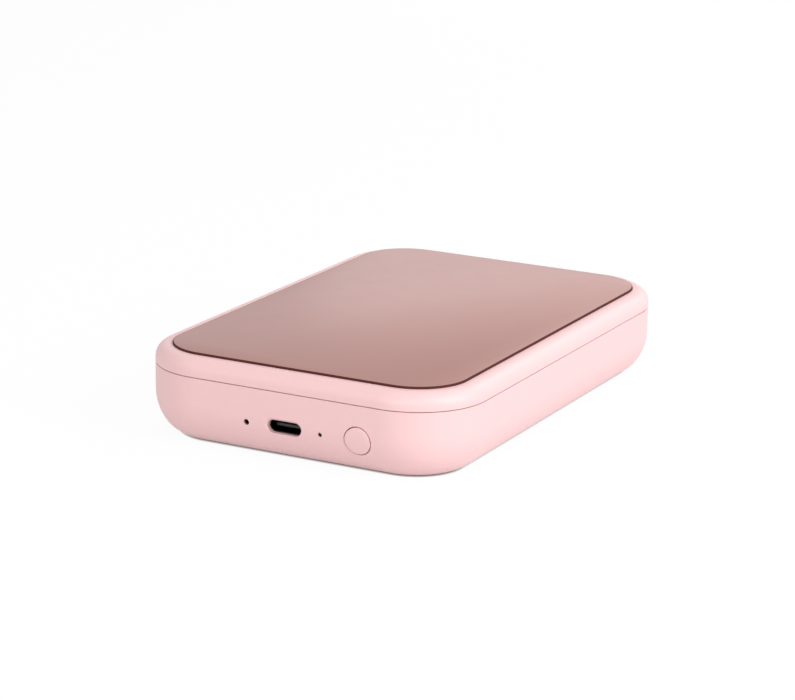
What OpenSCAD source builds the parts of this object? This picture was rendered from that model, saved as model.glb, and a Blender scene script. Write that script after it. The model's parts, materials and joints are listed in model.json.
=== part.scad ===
// Compact photo printer for 50 x 76 mm sticker paper.
// The body rests on z = 0 and is centred on x and y. The front, with the charging port, faces -Y.
// The cover is hinged along the rear edge, and prints leave through the slot below it, towards +Y.

/* [Body] */
// Width across the body
body_w = 82.3; // [81:0.1:90]
// Length from the front to the rear
body_l = 121.3; // [120:0.1:130]
// Height of the cover's rim
body_h = 20.6; // [20.4:0.1:23]
// Height of the seam between the base and the cover
seam_z = 16.5; // [16.2:0.1:17]
// Open gap at the seam
seam_gap = 0.2; // [0.1:0.05:0.3]
// Thickness of the shells' walls
wall = 1.5; // [1.3:0.05:1.6]
// Radius of the body's corners, seen from above
corner_r = 17.15; // [15:0.05:18]
// How far the lower edge's rounding reaches in from the side
foot_run = 8; // [7.8:0.1:8.5]
// How far the lower edge's rounding reaches up
foot_rise = 10; // [9:0.1:10.4]
// Radius of the tight part of the lower edge's rounding
foot_tight_r = 7; // [6:0.1:7]
// Radius of the cover's shoulder
shoulder_r = 3; // [2:0.1:3]
// Radius inside the cover's shoulder
ceiling_r = 1.2; // [0.8:0.1:1.5]

/* [Top plate] */
// Distance from the body's side to the plate
plate_inset = 4.28; // [4:0.01:6]
// Radius of the plate's corners
plate_r = 12.13; // [10:0.01:14]
// Thickness of the plate
plate_t = 1.1; // [0.8:0.05:1.1]
// How far the plate stands above the rim
plate_proud = 0.5; // [0.2:0.05:0.5]
// Thickness of the dark adhesive sheet under the plate
glue_t = 0.15; // [0.1:0.01:0.2]
// Gap round the plate
plate_fit = 0.1; // [0.05:0.01:0.2]
// Thickness of the cover's skin under the plate
skin_t = 1.05; // [0.9:0.05:1.1]

/* [Front controls] */
// Height of the row of controls
control_z = 8.3; // [8.2:0.05:8.4]
// Width of the charging port's opening
port_w = 8.6; // [8.6:0.05:9.2]
// Height of the charging port's opening
port_h = 3.08; // [2.9:0.01:3.2]
// Chamfer round the charging port's opening
port_chamfer = 0.1; // [0.1:0.05:0.4]
// Status light, across from the middle
light_x = 9.2; // [8:0.1:11]
// Diameter of the status light's hole
light_d = 1.05; // [0.7:0.05:1.1]
// Reset hole, across from the middle
reset_x = -9.6; // [-11:0.1:-8]
// Diameter of the reset hole
reset_d = 1.4; // [0.8:0.05:1.5]
// Depth of the light's hole and the reset hole, before the pocket behind them
pin_skin = 0.6; // [0.5:0.05:0.8]
// Power button, across from the middle
button_x = 18.6; // [18:0.1:19.2]
// Diameter of the power button
button_d = 6.3; // [5.8:0.1:6.5]
// Gap round the power button
button_gap = 0.25; // [0.1:0.01:0.3]
// How far the power button's face is set back
button_set = 0.1; // [0:0.05:0.2]
// How far the power button travels
button_travel = 0.35; // [0.25:0.05:0.4]
// Thickness of the power button's flange
flange_t = 0.75; // [0.6:0.05:0.8]
// How far the power button's flange stands out round it
flange_rim = 0.8; // [0.6:0.05:1]

/* [Hinge] */
// Radius of the cover's hinge barrel
barrel_r = 1.6; // [1.5:0.05:1.7]
// Radius of the hollow in the base that the barrel turns in
hollow_r = 2.1; // [2.05:0.05:2.2]
// Radius of the hinge pins
hinge_pin_r = 0.6; // [0.5:0.05:0.7]
// Length of a hinge pin
hinge_pin_l = 11; // [9:0.5:12]
// Distance of each knuckle from the middle
knuckle_x = 18; // [16:0.5:19]
// Width of a knuckle
knuckle_w = 4; // [3:0.1:4.5]
// Length of the hinge barrel from the middle to its end
barrel_x = 24; // [23.9:0.1:24]
// Gap at the side of a knuckle
hinge_gap = 0.2; // [0.15:0.05:0.3]
// Radial clearance of every turning fit
run_fit = 0.05; // [0.03:0.01:0.08]

/* [Paper bay] */
// Width of a sheet
paper_w = 50.8; // [50:0.1:51]
// Length of a sheet
paper_l = 76.2; // [75:0.1:76.4]
// Room round the sheets
paper_room = 0.8; // [0.6:0.1:0.9]
// Height of the bay's floor
bay_z = 11.1; // [11:0.05:11.2]
// Thickness of the bay's floor
bay_t = 0.8; // [0.7:0.05:0.9]
// Thickness of the bay's walls
bay_wall = 1.2; // [1:0.1:1.3]
// Height of the bay's walls above its floor
bay_depth = 4.9; // [4.5:0.1:5]
// Underside of the pressure plate
press_z = 15.25; // [15.2:0.05:15.3]
// Thickness of the pressure plate
press_t = 0.7; // [0.6:0.05:0.8]
// Width of the pressure plate
press_w = 44; // [43:0.5:45]
// Thickness of the felt under the pressure plate's shoes
felt_t = 0.8; // [0.5:0.1:1]
// Radius of the pressure plate's pivots
pivot_r = 0.7; // [0.6:0.05:0.8]

/* [Rollers and gears] */
// Distance of the platen roller from the rear
platen_back = 24.65; // [24.6:0.05:25]
// Height of the platen roller's axis
platen_z = 7.4; // [7.35:0.05:7.45]
// Radius of the platen roller
platen_r = 4; // [3.9:0.05:4]
// Distance of the pick roller in front of the platen roller
pick_reach = 20; // [19.6:0.1:20.4]
// Height of the pick roller's axis
pick_z = 7.1; // [7:0.05:7.15]
// Radius of the pick roller
pick_r = 4.5; // [4.4:0.05:4.55]
// Radius of the pick roller's plastic core
core_r = 3.2; // [2.8:0.1:3.4]
// Radius of the rollers' shafts
shaft_r = 1.25; // [1:0.05:1.4]
// Outer radius of the rollers' bushes
bush_r = 2; // [1.8:0.05:2.2]
// Distance of the motor behind the platen roller
motor_reach = 12; // [11.8:0.1:12.2]
// Height of the motor's axis
motor_z = 6.1; // [6:0.05:6.2]
// Radius of the motor's shaft
motor_shaft_r = 0.75; // [0.6:0.05:0.8]
// Length of the motor's case
motor_l = 15; // [12:0.5:16]
// Width of the motor's case
motor_w = 10; // [9.4:0.1:10]
// Height of the motor's case
motor_h = 8; // [7:0.1:8]
// Gear module
gear_m = 0.5; // [0.49:0.01:0.5]
// Metal taken off each tooth for play
gear_play = 0.06; // [0.04:0.01:0.08]
// Width of the gears next to the frame
gear_w = 2; // [1.8:0.1:2]
// Width of the gears of the outer row
outer_gear_w = 1.7; // [1.5:0.1:1.9]
// Gap between the rows of gears
row_gap = 0.3; // [0.2:0.05:0.3]
// Radius of the gear posts
post_r = 1; // [0.9:0.05:1.1]

/* [Print head] */
// Gap between the print head and the platen roller, for the sheet
nip = 0.3; // [0.25:0.05:0.35]
// Thickness of the print head's ceramic bar
head_t = 1.3; // [1.2:0.05:1.4]
// Length of the ceramic bar along the sheet's travel
head_l = 9; // [8:0.1:9.5]
// Thickness of the heat sink
sink_t = 1.6; // [1.4:0.1:1.7]
// Distance of the head's pivot behind the platen roller
head_reach = 11; // [10.8:0.1:11.2]
// Height of the head's pivot
head_pivot_z = 14; // [13.8:0.1:14.1]

/* [Frame, board and battery] */
// Thickness of the steel frame
frame_t = 0.8; // [0.7:0.05:0.8]
// Distance of the frame's side plates from the middle, to their inner faces
frame_x = 28.5; // [28.4:0.1:28.8]
// Thickness of the circuit board
board_t = 0.8; // [0.7:0.05:0.8]
// Width of the circuit board
board_w = 58; // [56:0.5:58]
// Length of the circuit board
board_l = 21.8; // [21:0.1:22]
// Width of the battery
battery_w = 50; // [48:0.5:51]
// Length of the battery
battery_l = 34; // [32:0.5:35]
// Thickness of the battery
battery_t = 4.5; // [4:0.1:4.7]
// Radius of the wires
wire_r = 0.45; // [0.4:0.05:0.5]
// Radius of the small screws' threads
screw_r = 0.8; // [0.7:0.05:0.9]
// Radius of the small screws' heads
head_r = 1.5; // [1.3:0.05:1.6]

/* [Hidden] */
$fn = 64;

// Colours seen in the photograph, and usual ones for what is inside
pink = "#F0C8CB";
rose_gold = "#C19A94";
dark_edge = "#501E1C";
steel = "#B9BDC2";
black = "#2A2A2C";
white = "#ECECEA";
brass = "#C9A24B";
board_green = "#1F5B3A";

// Body
side = body_w / 2;
rear = body_l / 2;
front = -rear;
corner_x = side - corner_r;
corner_y = rear - corner_r;
foot_wide_r = (pow(foot_run, 2) + pow(foot_rise - foot_tight_r, 2) - pow(foot_tight_r, 2))
    / (2 * (foot_run - foot_tight_r));
seam_low = seam_z - seam_gap / 2;
seam_high = seam_z + seam_gap / 2;
plate_z = body_h + plate_proud - plate_t;
recess_z = plate_z - glue_t;
ceiling_z = recess_z - skin_t;
inner_front = front + wall;
lip_t = 0.7;
lip_gap = 0.15;
lip_rise = 0.7;
lip_drop = 1.6;
lip_end_y = rear - 24;

// Controls
cut = 1;
pocket_y = inner_front + 0.1;
pocket_deep = 3;
flange_room = 0.3;
pin_pocket_r = 1.2;
stem_r = 1;
stem_end = front + 3.65;
switch_depth = 3.2;
switch_gap = button_travel + 0.45;
switch_press = 0.2;
port_shell_w = 8.94;
port_shell_h = 3.2;
port_shell_l = 7.3;
port_shell_t = 0.3;
port_shell_y = pocket_y + 0.05;
port_room = 0.2;
tongue_x = 3.35;
tongue_t = 0.7;
tongue_back = 0.9;
port_block_l = 1.4;
flare = 0.4;
power_switch_w = 4.4;
power_switch_h = 3.1;
reset_switch_w = 3.4;
reset_switch_h = 2.8;
plunger_r = 0.6;
led_w = 1.6;
led_h = 0.7;
pipe_fit = 0.04;
pipe_back = 0.7;
pipe_rim = 0.9;

// Hinge
hinge_y = rear - barrel_r;
hinge_z = seam_z;
hollow_x = 31.5;
notch_rise = 1.2;
knuckle_low = hinge_z - 3.1;
slot_low = bay_z - 0.2;
slot_high = bay_z + 2.1;
slot_side = 0.6;
slot_deep = 4;

// Paper bay
platen_y = rear - platen_back;
gate_y = platen_y - 11.6;
bay_w = paper_w + 2 * paper_room;
bay_front = gate_y - paper_l - paper_room;
tray_low = bay_z - bay_t;
tray_wide_x = 34;
tray_wide_start = bay_front + 2.4;
tray_wide_end = gate_y - 16.4;
tray_end = platen_y - 4.5;
tray_tip = bay_front - 3.6;
pick_y = platen_y - pick_reach;
tyre_in = 8;
tyre_out = 16;
shoe_margin = 1;
window_l = 8.4;
window_side = 0.6;
tray_fit = 0.4;
tray_rib_t = 0.8;
tray_rib_step = 9;
tray_rib_h = 1.6;
gate_low = 0.9;
pad_x = 9;
pad_t = 0.45;
sensor_x = 3.4;
sensor_l = 2.6;
sensor_y = tray_end - 1.7;
sensor_room = 0.3;
sensor_h = 1.7;
screw_x = 31.5;
tray_screw_ys = [bay_front + 6.4, tray_wide_end - 4];
boss_r = 2.2;
prop_r = 1.6;
prop_x = 14;
screw_head_h = 0.8;
screw_slot_w = 0.3;
screw_slot_l = 1.8;
tray_screw_bite = 4;
frame_screw_bite = 0.9;
board_screw_bite = 3;

// Frame
frame_out = frame_x + frame_t;
frame_front = pick_y - 6;
frame_rear = platen_y + 18;
frame_top = 16;
frame_cut = 3;
frame_foot = 8;
frame_tail = 3.6;
frame_screw_x = 20;
stub = 0.6;
bush_flange_r = 2.8;
bush_flange_t = 0.5;
inner_row = frame_out + 0.9;
outer_row = inner_row + gear_w + row_gap;

// Gears
platen_teeth = 18;
pick_teeth = 18;
idler_teeth = 24;
compound_teeth = 20;
pinion_teeth = 12;
pressure_angle = 20;
motor_y = platen_y + motor_reach;
motor_face = frame_x;
motor_screw_y = 3.4;
motor_screw_bite = 1.6;
motor_head_h = 0.5;
motor_bore_l = 4;
motor_end_play = 0.2;
motor_hole_room = 0.6;
press_room = 0.01;
tooth_root = 1.05;
tooth_tip = 0.8;
post_shoulder = 0.6;
post_end = 0.8;
clip_gap = 0.2;
clip_t = 0.4;
clip_r = 2;
platen_end = 1.5;
core_end = 1;
platen_at = [platen_y, platen_z];
pick_at = [pick_y, pick_z];
motor_at = [motor_y, motor_z];
idler_at = meet(pick_at, platen_at, mesh(pick_teeth, idler_teeth), mesh(platen_teeth, idler_teeth));
compound_at = meet(platen_at, motor_at, mesh(platen_teeth, pinion_teeth),
    mesh(compound_teeth, pinion_teeth));
platen_turn = 0;
idler_turn = mesh_turn(platen_at, idler_at, platen_turn, platen_teeth, idler_teeth);
pick_turn = mesh_turn(idler_at, pick_at, idler_turn, idler_teeth, pick_teeth);
compound_turn = mesh_turn(platen_at, compound_at, platen_turn, platen_teeth, pinion_teeth);
motor_turn = mesh_turn(compound_at, motor_at, compound_turn, compound_teeth, pinion_teeth);

// Print head
nip_z = platen_z + platen_r + nip;
sink_z = nip_z + head_t;
sink_top = sink_z + sink_t;
sink_x = frame_x - 0.6;
head_pivot_y = platen_y + head_reach;
head_shift = 1;
head_end = 0.6;
ear_l = 6;
ear_r = 1.9;
ear_t = 1.2;
fin_x = 11;
fin_t = 0.8;
fin_h = 0.9;
fin_step = 2.2;
pivot_shaft_r = 1;
pivot_shaft_end = 0.3;
bridge_t = 0.8;
bridge_z = ceiling_z - 0.6 - bridge_t;
bridge_w = 6;
head_spring_x = 15;
head_spring_r = 1.8;
head_wire_r = 0.22;
spring_turns = 4;
guide_front = 7.4;
guide_back = 4.6;
guide_x = 24;
guide_rib_t = 0.8;
guide_rib_h = 0.25;
guide_rib_step = 8;

// Pressure plate
press_pivot_y = bay_front + 2.9;
press_pivot_z = press_z + 1.55;
press_end = pick_y + 5.5;
knuckle_r = 1.3;
press_knuckle_in = 16;
press_spring_x = 12;
press_spring_r = 2.2;
press_wire_r = 0.2;
press_pin_l = 2.2;
press_side = 0.4;
felt_low = pick_z + pick_r + 0.35;
shoe_l = 8;
lug_gap = 0.6;
lug_t = 1.8;
lug_r = 1.4;
bond = 0.2;
stop_t = 1.2;
stop_y = pick_y + 1;
stop_w = 3;
stop_h = 0.75;
stop_gap = 0.05;
stop_reach = 1;

// Board and battery
port_z = control_z - port_shell_h / 2;
board_low = port_z - board_t;
board_front = inner_front + 2.15;
board_rear = board_front + board_l;
led_y = board_front + 0.4;
board_post_x = 24;
board_post_y = board_rear - 4.8;
board_cut = 6;
battery_back = 9.5;
battery_front = pick_y - pick_r - battery_back - battery_l;
battery_z = wall + 0.1;
battery_cap_l = 1.6;
battery_cap_in = 6;
battery_cap_low = 1.1;
battery_play = 0.3;
rib_t = 1;
rib_h = 2;
rib_end = 4;
end_rib_x = 10;
magnet_x = 22;
magnet_y = front + 4.45;
magnet_r = 1.25;
magnet_t = 2;
magnet_wall = 0.65;
magnet_floor = 1;
magnet_lid = 0.4;
magnet_low = seam_low - magnet_lid - magnet_t;
cover_magnet_low = seam_low - 0.1;
socket_x = -board_w / 2 + 0.6;
socket_back = 0.4;
shield_w = 14;
shield_l = 10.3;
shield_h = 1.8;
shield_x = -8;
part_back = 1.2;
radio_x = 9;
radio_w = 11;
radio_l = 8.3;
radio_h = 1.6;
battery_socket_w = 5;
battery_socket_x = -16.5;
battery_socket_l = 3.8;
socket_h = 2;
motor_socket_w = 2.7;
motor_socket_l = 3.2;
motor_socket_h = 2.3;
motor_socket_y = board_rear - 6.6;
flex_socket_w = 2.8;
battery_lead_xs = [-14.7, -13.3];
wire_bend_r = 0.7;
lead_x = side - wall - 3.45;
flex_x = lead_x - 1.8;
flex_t = 0.2;
flex_w = 6.5;
flex_low = 3.4;
flex_high = 9.4;
flex_end_w = 2;
lead_low = port_z + 0.5;
lead_step = 1.1;
lead_hole = 1.2;

function mesh(a, b) = (a + b) * gear_m / 2;

// The upper point at distance ra from a and rb from b, in the plane of y and z
function meet(a, b, ra, rb) =
    let (d = norm(b - a), u = (b - a) / d, s = (ra * ra - rb * rb + d * d) / (2 * d))
    a + s * u + sqrt(ra * ra - s * s) * abs(u[0]) * [-u[1] / u[0], 1];

// Turn of a gear of nb teeth at b that puts it in mesh with one of na teeth at a
function mesh_turn(a, b, turn_a, na, nb) =
    let (beta = atan2(b[1] - a[1], b[0] - a[0]))
    beta + 180 + ((beta - turn_a) * na - 180) / nb;

// Involute of an angle, in degrees
function involute(a) = tan(a) * 180 / PI - a;

// Half the angle that a tooth takes up at radius rho
function half_tooth(n, rho) =
    let (r = n * gear_m / 2, base = r * cos(pressure_angle), a = rho > base ? acos(base / rho) : 0)
    90 / n - gear_play / 2 / r * 180 / PI + involute(pressure_angle) - involute(a);

function polar(r, a) = [r * cos(a), r * sin(a)];

function lerp(a, b, s) = a + (b - a) * s;

module along_x(x, at) {
    translate([x, at[0], at[1]]) rotate([90, 0, 90]) children();
}

module along_y(y, x, z) {
    translate([x, y, z]) rotate([-90, 0, 0]) children();
}

module rod_x(x0, x1, at, r) {
    along_x(x0, at) cylinder(r = r, h = x1 - x0);
}

module rod_y(y0, y1, x, z, r) {
    along_y(y0, x, z) cylinder(r = r, h = y1 - y0);
}

module rod_z(z0, z1, x, y, r) {
    translate([x, y, z0]) cylinder(r = r, h = z1 - z0);
}

module block(low, high) {
    translate(low) cube(high - low);
}

module both_sides() {
    children();
    mirror([1, 0, 0]) children();
}

module tube_x(x0, x1, at, outer, inner) {
    difference() {
        rod_x(x0, x1, at, outer);
        rod_x(x0 - cut, x1 + cut, at, inner);
    }
}

// Section of the body from a corner's centre out to the wall, moved in by t and closed at top
module section(t, top, round_r) {
    wide = [corner_r - foot_wide_r, foot_rise];
    tight = [corner_r - foot_run, foot_tight_r];
    d = (tight - wide) / norm(tight - wide);
    reach = 2 * foot_wide_r;
    translate([0, t]) square([tight[0], top - t]);
    translate([0, foot_rise]) square([corner_r - t - round_r, top - foot_rise]);
    translate([0, foot_rise]) square([corner_r - t, top - round_r - foot_rise]);
    translate([corner_r - t - round_r, top - round_r]) circle(round_r);
    intersection() {
        translate(wide) circle(foot_wide_r - t);
        polygon([wide, wide + reach * d, wide + [reach, 0]]);
    }
    intersection() {
        translate(tight) circle(foot_tight_r - t);
        polygon([tight, tight + reach * d, tight + [reach * d[0], -reach], tight - [0, reach]]);
    }
}

// Carries a section round the body's plan: four turned corners and four straight sides
module ring() {
    for (k = [0 : 3]) {
        out = k % 2 == 0 ? corner_x : corner_y;
        across = k % 2 == 0 ? corner_y : corner_x;
        rotate([0, 0, 90 * k]) {
            translate([out, across, 0]) rotate_extrude(angle = 90) children();
            translate([out, 0, 0]) rotate([90, 0, 0])
                linear_extrude(height = 2 * across, center = true) children();
        }
    }
}

module rounded_plan(w, l, r) {
    square([w - 2 * r, l], center = true);
    square([w, l - 2 * r], center = true);
    for (x = [-1, 1], y = [-1, 1]) translate([x * (w / 2 - r), y * (l / 2 - r)]) circle(r);
}

// Involute teeth with a bore, from z = 0 up
module gear(n, w, bore) {
    r = n * gear_m / 2;
    root = r - tooth_root * gear_m;
    tip = r + tooth_tip * gear_m;
    steps = 5;
    radii = [for (i = [0 : steps]) lerp(root, tip, i / steps)];
    difference() {
        linear_extrude(height = w) polygon([
            for (k = [0 : n - 1], s = [-1, 1], i = [0 : steps])
                let (rho = radii[s < 0 ? i : steps - i])
                polar(rho, 360 * k / n + s * half_tooth(n, rho))
        ]);
        translate([0, 0, -cut]) cylinder(r = bore, h = w + 2 * cut);
    }
}

// Open coil spring standing on z = 0
module spring(r, wire, h, turns) {
    sides = 6;
    per_turn = 12;
    rings = turns * per_turn;
    rise = h - 2 * wire;
    points = [
        for (i = [0 : rings], j = [0 : sides - 1])
            let (a = 360 * i / per_turn, b = 360 * j / sides, rho = r + wire * cos(b))
            [rho * cos(a), rho * sin(a), wire + rise * i / rings + wire * sin(b)]
    ];
    skin = [
        for (i = [0 : rings - 1], j = [0 : sides - 1])
            let (p = i * sides + j, q = i * sides + (j + 1) % sides)
            each [[p, p + sides, q], [q, p + sides, q + sides]]
    ];
    first_end = [for (j = [1 : sides - 2]) [0, j, j + 1]];
    last = rings * sides;
    last_end = [for (j = [1 : sides - 2]) [last, last + j + 1, last + j]];
    polyhedron(points = points, faces = concat(skin, first_end, last_end), convexity = 8);
}

// Small pan-head screw with its head's underside at z = 0, pointing down
module screw(length) {
    translate([0, 0, -length]) cylinder(r = screw_r, h = length);
    difference() {
        cylinder(r = head_r, h = screw_head_h);
        for (a = [0, 90]) rotate([0, 0, a])
            block([-screw_slot_l / 2, -screw_slot_w / 2, screw_head_h / 2],
                [screw_slot_l / 2, screw_slot_w / 2, screw_head_h + cut]);
    }
}

// The round-ended port shape, out along +Y from y0
module port_prism(y0, y1, w, h) {
    along_y(y0, 0, control_z) linear_extrude(height = y1 - y0) {
        square([w - h, h], center = true);
        for (x = [-1, 1]) translate([x * (w - h) / 2, 0]) circle(h / 2);
    }
}

// Chamfer round the port, as a flared cutter that starts in front of the wall
module port_bevel() {
    straight = port_w - port_h;
    start = flare + 0.1;
    half = port_chamfer / 2;
    wide = port_h / 2 + port_chamfer + flare;
    deep = half + flare;
    for (x = [-1, 1]) along_y(front - start, x * straight / 2, control_z) {
        cylinder(r = wide, h = start - half);
        translate([0, 0, start - half]) cylinder(r1 = wide, r2 = port_h / 2, h = half + deep);
    }
    translate([-straight / 2, front, control_z]) rotate([90, 0, 90]) linear_extrude(height = straight)
        polygon([
            [-start, wide], [-half, wide], [deep, port_h / 2],
            [deep, -port_h / 2], [-half, -wide], [-start, -wide]
        ]);
}

// Section of the lip that stands inside the seam, with a slope under its foot
module lip_section() {
    in = corner_r - wall;
    foot = lip_t + lip_gap;
    root = 0.1;
    polygon([
        [in + root, seam_low - lip_drop], [in - foot, seam_low - lip_drop + foot],
        [in - foot, seam_high + lip_rise], [in - lip_gap, seam_high + lip_rise],
        [in - lip_gap, seam_low], [in + root, seam_low]
    ]);
}

module base_shell() {
    color(pink) {
        difference() {
            union() {
                ring() difference() {
                    intersection() {
                        section(0, body_h, shoulder_r);
                        square([corner_r, seam_low]);
                    }
                    section(wall, ceiling_z, ceiling_r);
                }
                block([-corner_x, -corner_y, 0], [corner_x, corner_y, wall]);
                base_bosses();
            }
            front_openings();
            rod_x(-hollow_x, hollow_x, [hinge_y, hinge_z], hollow_r);
            block([-bay_w / 2 - slot_side, rear - slot_deep, slot_low],
                [bay_w / 2 + slot_side, rear + cut, slot_high]);
            frame_screw_places() rod_z(-frame_screw_bite, cut, 0, 0, screw_r);
        }
        difference() {
            ring() lip_section();
            block([-side, lip_end_y, 0], [side, rear, body_h]);
        }
        both_sides() base_knuckle();
    }
}

module base_bosses() {
    both_sides() {
        for (y = tray_screw_ys) difference() {
            rod_z(wall / 2, tray_low, screw_x, y, boss_r);
            rod_z(tray_low - tray_screw_bite, tray_low + cut, screw_x, y, screw_r);
        }
        difference() {
            rod_z(wall / 2, board_low, board_post_x, board_post_y, boss_r);
            rod_z(board_low - board_screw_bite, board_low + cut, board_post_x, board_post_y, screw_r);
        }
        rod_z(wall / 2, board_low, prop_x, board_front + 4, prop_r);
        magnet_shelf();
    }
    battery_ribs();
}

// Shelf on the front wall that holds a magnet
module magnet_shelf() {
    difference() {
        block([magnet_x - magnet_r - magnet_wall, front + wall / 2, magnet_low - magnet_floor],
            [magnet_x + magnet_r + magnet_wall, magnet_y + magnet_r + magnet_wall, magnet_low + magnet_t]);
        rod_z(magnet_low, body_h, magnet_x, magnet_y, magnet_r);
    }
}

// Low ribs that keep the battery in its place
module battery_ribs() {
    at_side = battery_w / 2 + battery_play;
    at_end = battery_front + battery_l + battery_play;
    both_sides() block([at_side, battery_front + rib_end, wall / 2],
        [at_side + rib_t, battery_front + battery_l - rib_end, wall + rib_h]);
    block([-end_rib_x, at_end, wall / 2], [end_rib_x, at_end + rib_t, wall + rib_h]);
}

module front_openings() {
    back = inner_front + pocket_deep;
    port_prism(front - cut, back, port_w, port_h);
    port_bevel();
    block([-port_shell_w / 2 - port_room, pocket_y, port_z - port_room],
        [port_shell_w / 2 + port_room, back, port_z + port_shell_h + port_room]);
    rod_y(front - cut, back, light_x, control_z, light_d / 2);
    rod_y(front - cut, back, reset_x, control_z, reset_d / 2);
    for (x = [light_x, reset_x]) rod_y(front + pin_skin, back, x, control_z, pin_pocket_r);
    rod_y(front - cut, back, button_x, control_z, button_d / 2 + button_gap);
    rod_y(pocket_y, back, button_x, control_z, button_d / 2 + flange_rim + flange_room);
}

module base_knuckle() {
    difference() {
        union() {
            rod_x(knuckle_x - knuckle_w / 2, knuckle_x + knuckle_w / 2, [hinge_y, hinge_z], barrel_r);
            block([knuckle_x - knuckle_w / 2, hinge_y - barrel_r, knuckle_low],
                [knuckle_x + knuckle_w / 2, hinge_y, hinge_z]);
            block([knuckle_x - knuckle_w / 2, hinge_y - barrel_r, knuckle_low],
                [knuckle_x + knuckle_w / 2, rear - wall / 2, hinge_z - hollow_r - 0.1]);
        }
        rod_x(0, side, [hinge_y, hinge_z], hinge_pin_r);
    }
}

module paper_tray() {
    color(white) difference() {
        union() {
            block([-tray_wide_x, tray_wide_start, tray_low], [tray_wide_x, tray_wide_end, bay_z]);
            block([-frame_x + tray_fit, tray_tip, tray_low], [frame_x - tray_fit, tray_end, bay_z]);
            tray_walls();
        }
        both_sides() {
            block([tyre_in - window_side, pick_y - window_l / 2, tray_low - cut],
                [tyre_out + window_side, pick_y + window_l / 2, bay_z + cut]);
            for (y = tray_screw_ys) rod_z(tray_low - cut, bay_z + cut, screw_x, y, screw_r + 0.1);
        }
        block([-sensor_x - window_side, sensor_y - sensor_l - sensor_room, tray_low - cut],
            [sensor_x + window_side, sensor_y + sensor_room, bay_z + cut]);
    }
}

module tray_walls() {
    top = bay_z + bay_depth;
    wall_out = bay_w / 2 + bay_wall;
    both_sides() block([bay_w / 2, bay_front - bay_wall, tray_low], [wall_out, gate_y + bay_wall, top]);
    block([-wall_out, bay_front - bay_wall, tray_low], [wall_out, bay_front, top]);
    block([-wall_out, gate_y, bay_z + gate_low], [wall_out, gate_y + bay_wall, top]);
    for (i = [-2 : 2]) translate([i * tray_rib_step, 0, 0])
        block([-tray_rib_t / 2, tray_tip, tray_low], [tray_rib_t / 2, bay_front, bay_z + tray_rib_h]);
}

module separation_pad() {
    low = bay_z + gate_low - pad_t;
    color(black) block([-pad_x, gate_y, low], [pad_x, gate_y + bay_wall, low + pad_t]);
}

module engine_frame() {
    color(steel) {
        difference() {
            block([-frame_out, frame_front + 2, wall], [frame_out, platen_y + 4, wall + frame_t]);
            frame_screw_places() rod_z(-cut, frame_t + cut, 0, 0, screw_r);
        }
        difference() {
            both_sides() frame_side();
            block([-side, motor_y - lead_hole, lead_low - lead_hole],
                [0, motor_y + lead_hole, lead_low + lead_step + lead_hole]);
        }
    }
}

// One side plate: a sheet outline with its bores and notches
module frame_side() {
    difference() {
        along_x(frame_x, [0, 0]) linear_extrude(height = frame_t) polygon([
            [frame_front, wall], [platen_y + frame_foot, wall], [frame_rear, wall + frame_tail],
            [frame_rear, frame_top - frame_cut], [frame_rear - frame_cut, frame_top],
            [platen_y + bridge_w / 2, frame_top], [platen_y + bridge_w / 2, bridge_z],
            [platen_y - bridge_w / 2, bridge_z], [platen_y - bridge_w / 2, frame_top],
            [gate_y, frame_top], [frame_front, tray_low - tray_fit]
        ]);
        rod_x(0, side, [head_pivot_y, head_pivot_z], pivot_shaft_r);
        rod_x(0, side, compound_at, post_r);
        rod_x(0, side, idler_at, post_r);
        for (at = [platen_at, pick_at]) rod_x(0, side, at, bush_r);
        rod_x(0, side, motor_at, motor_shaft_r + motor_hole_room);
        for (s = [-1, 1]) rod_x(0, side, motor_at + [motor_screw_y * s, 0], screw_r);
    }
}

module roller_bushes() {
    color(brass) both_sides() for (at = [platen_at, pick_at]) {
        tube_x(frame_x, frame_out, at, bush_r, shaft_r + run_fit);
        tube_x(frame_x - bush_flange_t, frame_x, at, bush_flange_r, shaft_r + run_fit);
    }
}

module tray_screws() {
    color(steel) both_sides() for (y = tray_screw_ys)
        translate([screw_x, y, bay_z]) screw(bay_t + tray_screw_bite);
}

// The four places where the frame is screwed to the floor, at the floor's top
module frame_screw_places() {
    for (x = [-frame_screw_x, frame_screw_x], y = [frame_front + 3.6, platen_y - 7])
        translate([x, y, wall]) children();
}

module frame_screws() {
    color(steel) frame_screw_places() translate([0, 0, frame_t]) screw(frame_t + frame_screw_bite);
}

module board_screws() {
    color(steel) both_sides() translate([board_post_x, board_post_y, port_z])
        screw(board_t + board_screw_bite);
}

module main_board() {
    half = board_w / 2;
    inset = half - board_cut;
    slant = board_front + board_cut;
    color(board_green) difference() {
        translate([0, 0, board_low]) linear_extrude(height = board_t) polygon([
            [-half, board_rear], [-half, slant], [-inset, board_front],
            [inset, board_front], [half, slant], [half, board_rear]
        ]);
        both_sides() rod_z(0, body_h, board_post_x, board_post_y, screw_r);
    }
}

module usb_shell() {
    color(steel) difference() {
        port_prism(port_shell_y, port_shell_y + port_shell_l, port_shell_w, port_shell_h);
        port_prism(port_shell_y - cut, port_shell_y + port_shell_l - port_shell_t,
            port_shell_w - 2 * port_shell_t, port_shell_h - 2 * port_shell_t);
    }
}

module usb_tongue() {
    back = port_shell_y + port_shell_l - port_shell_t;
    color(black) {
        block([-tongue_x, port_shell_y + tongue_back, control_z - tongue_t / 2],
            [tongue_x, back, control_z + tongue_t / 2]);
        port_prism(back - port_block_l, back, port_shell_w - 2 * port_shell_t,
            port_shell_h - 2 * port_shell_t);
    }
}

// Case of a side-push switch with the hole that its plunger slides in
module switch_case(x, w, h, y0, bore) {
    difference() {
        block([x - w / 2, y0, port_z], [x + w / 2, y0 + switch_depth, port_z + h]);
        rod_y(y0 - cut, y0 + switch_depth / 2, x, control_z, bore + run_fit);
    }
}

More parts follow.
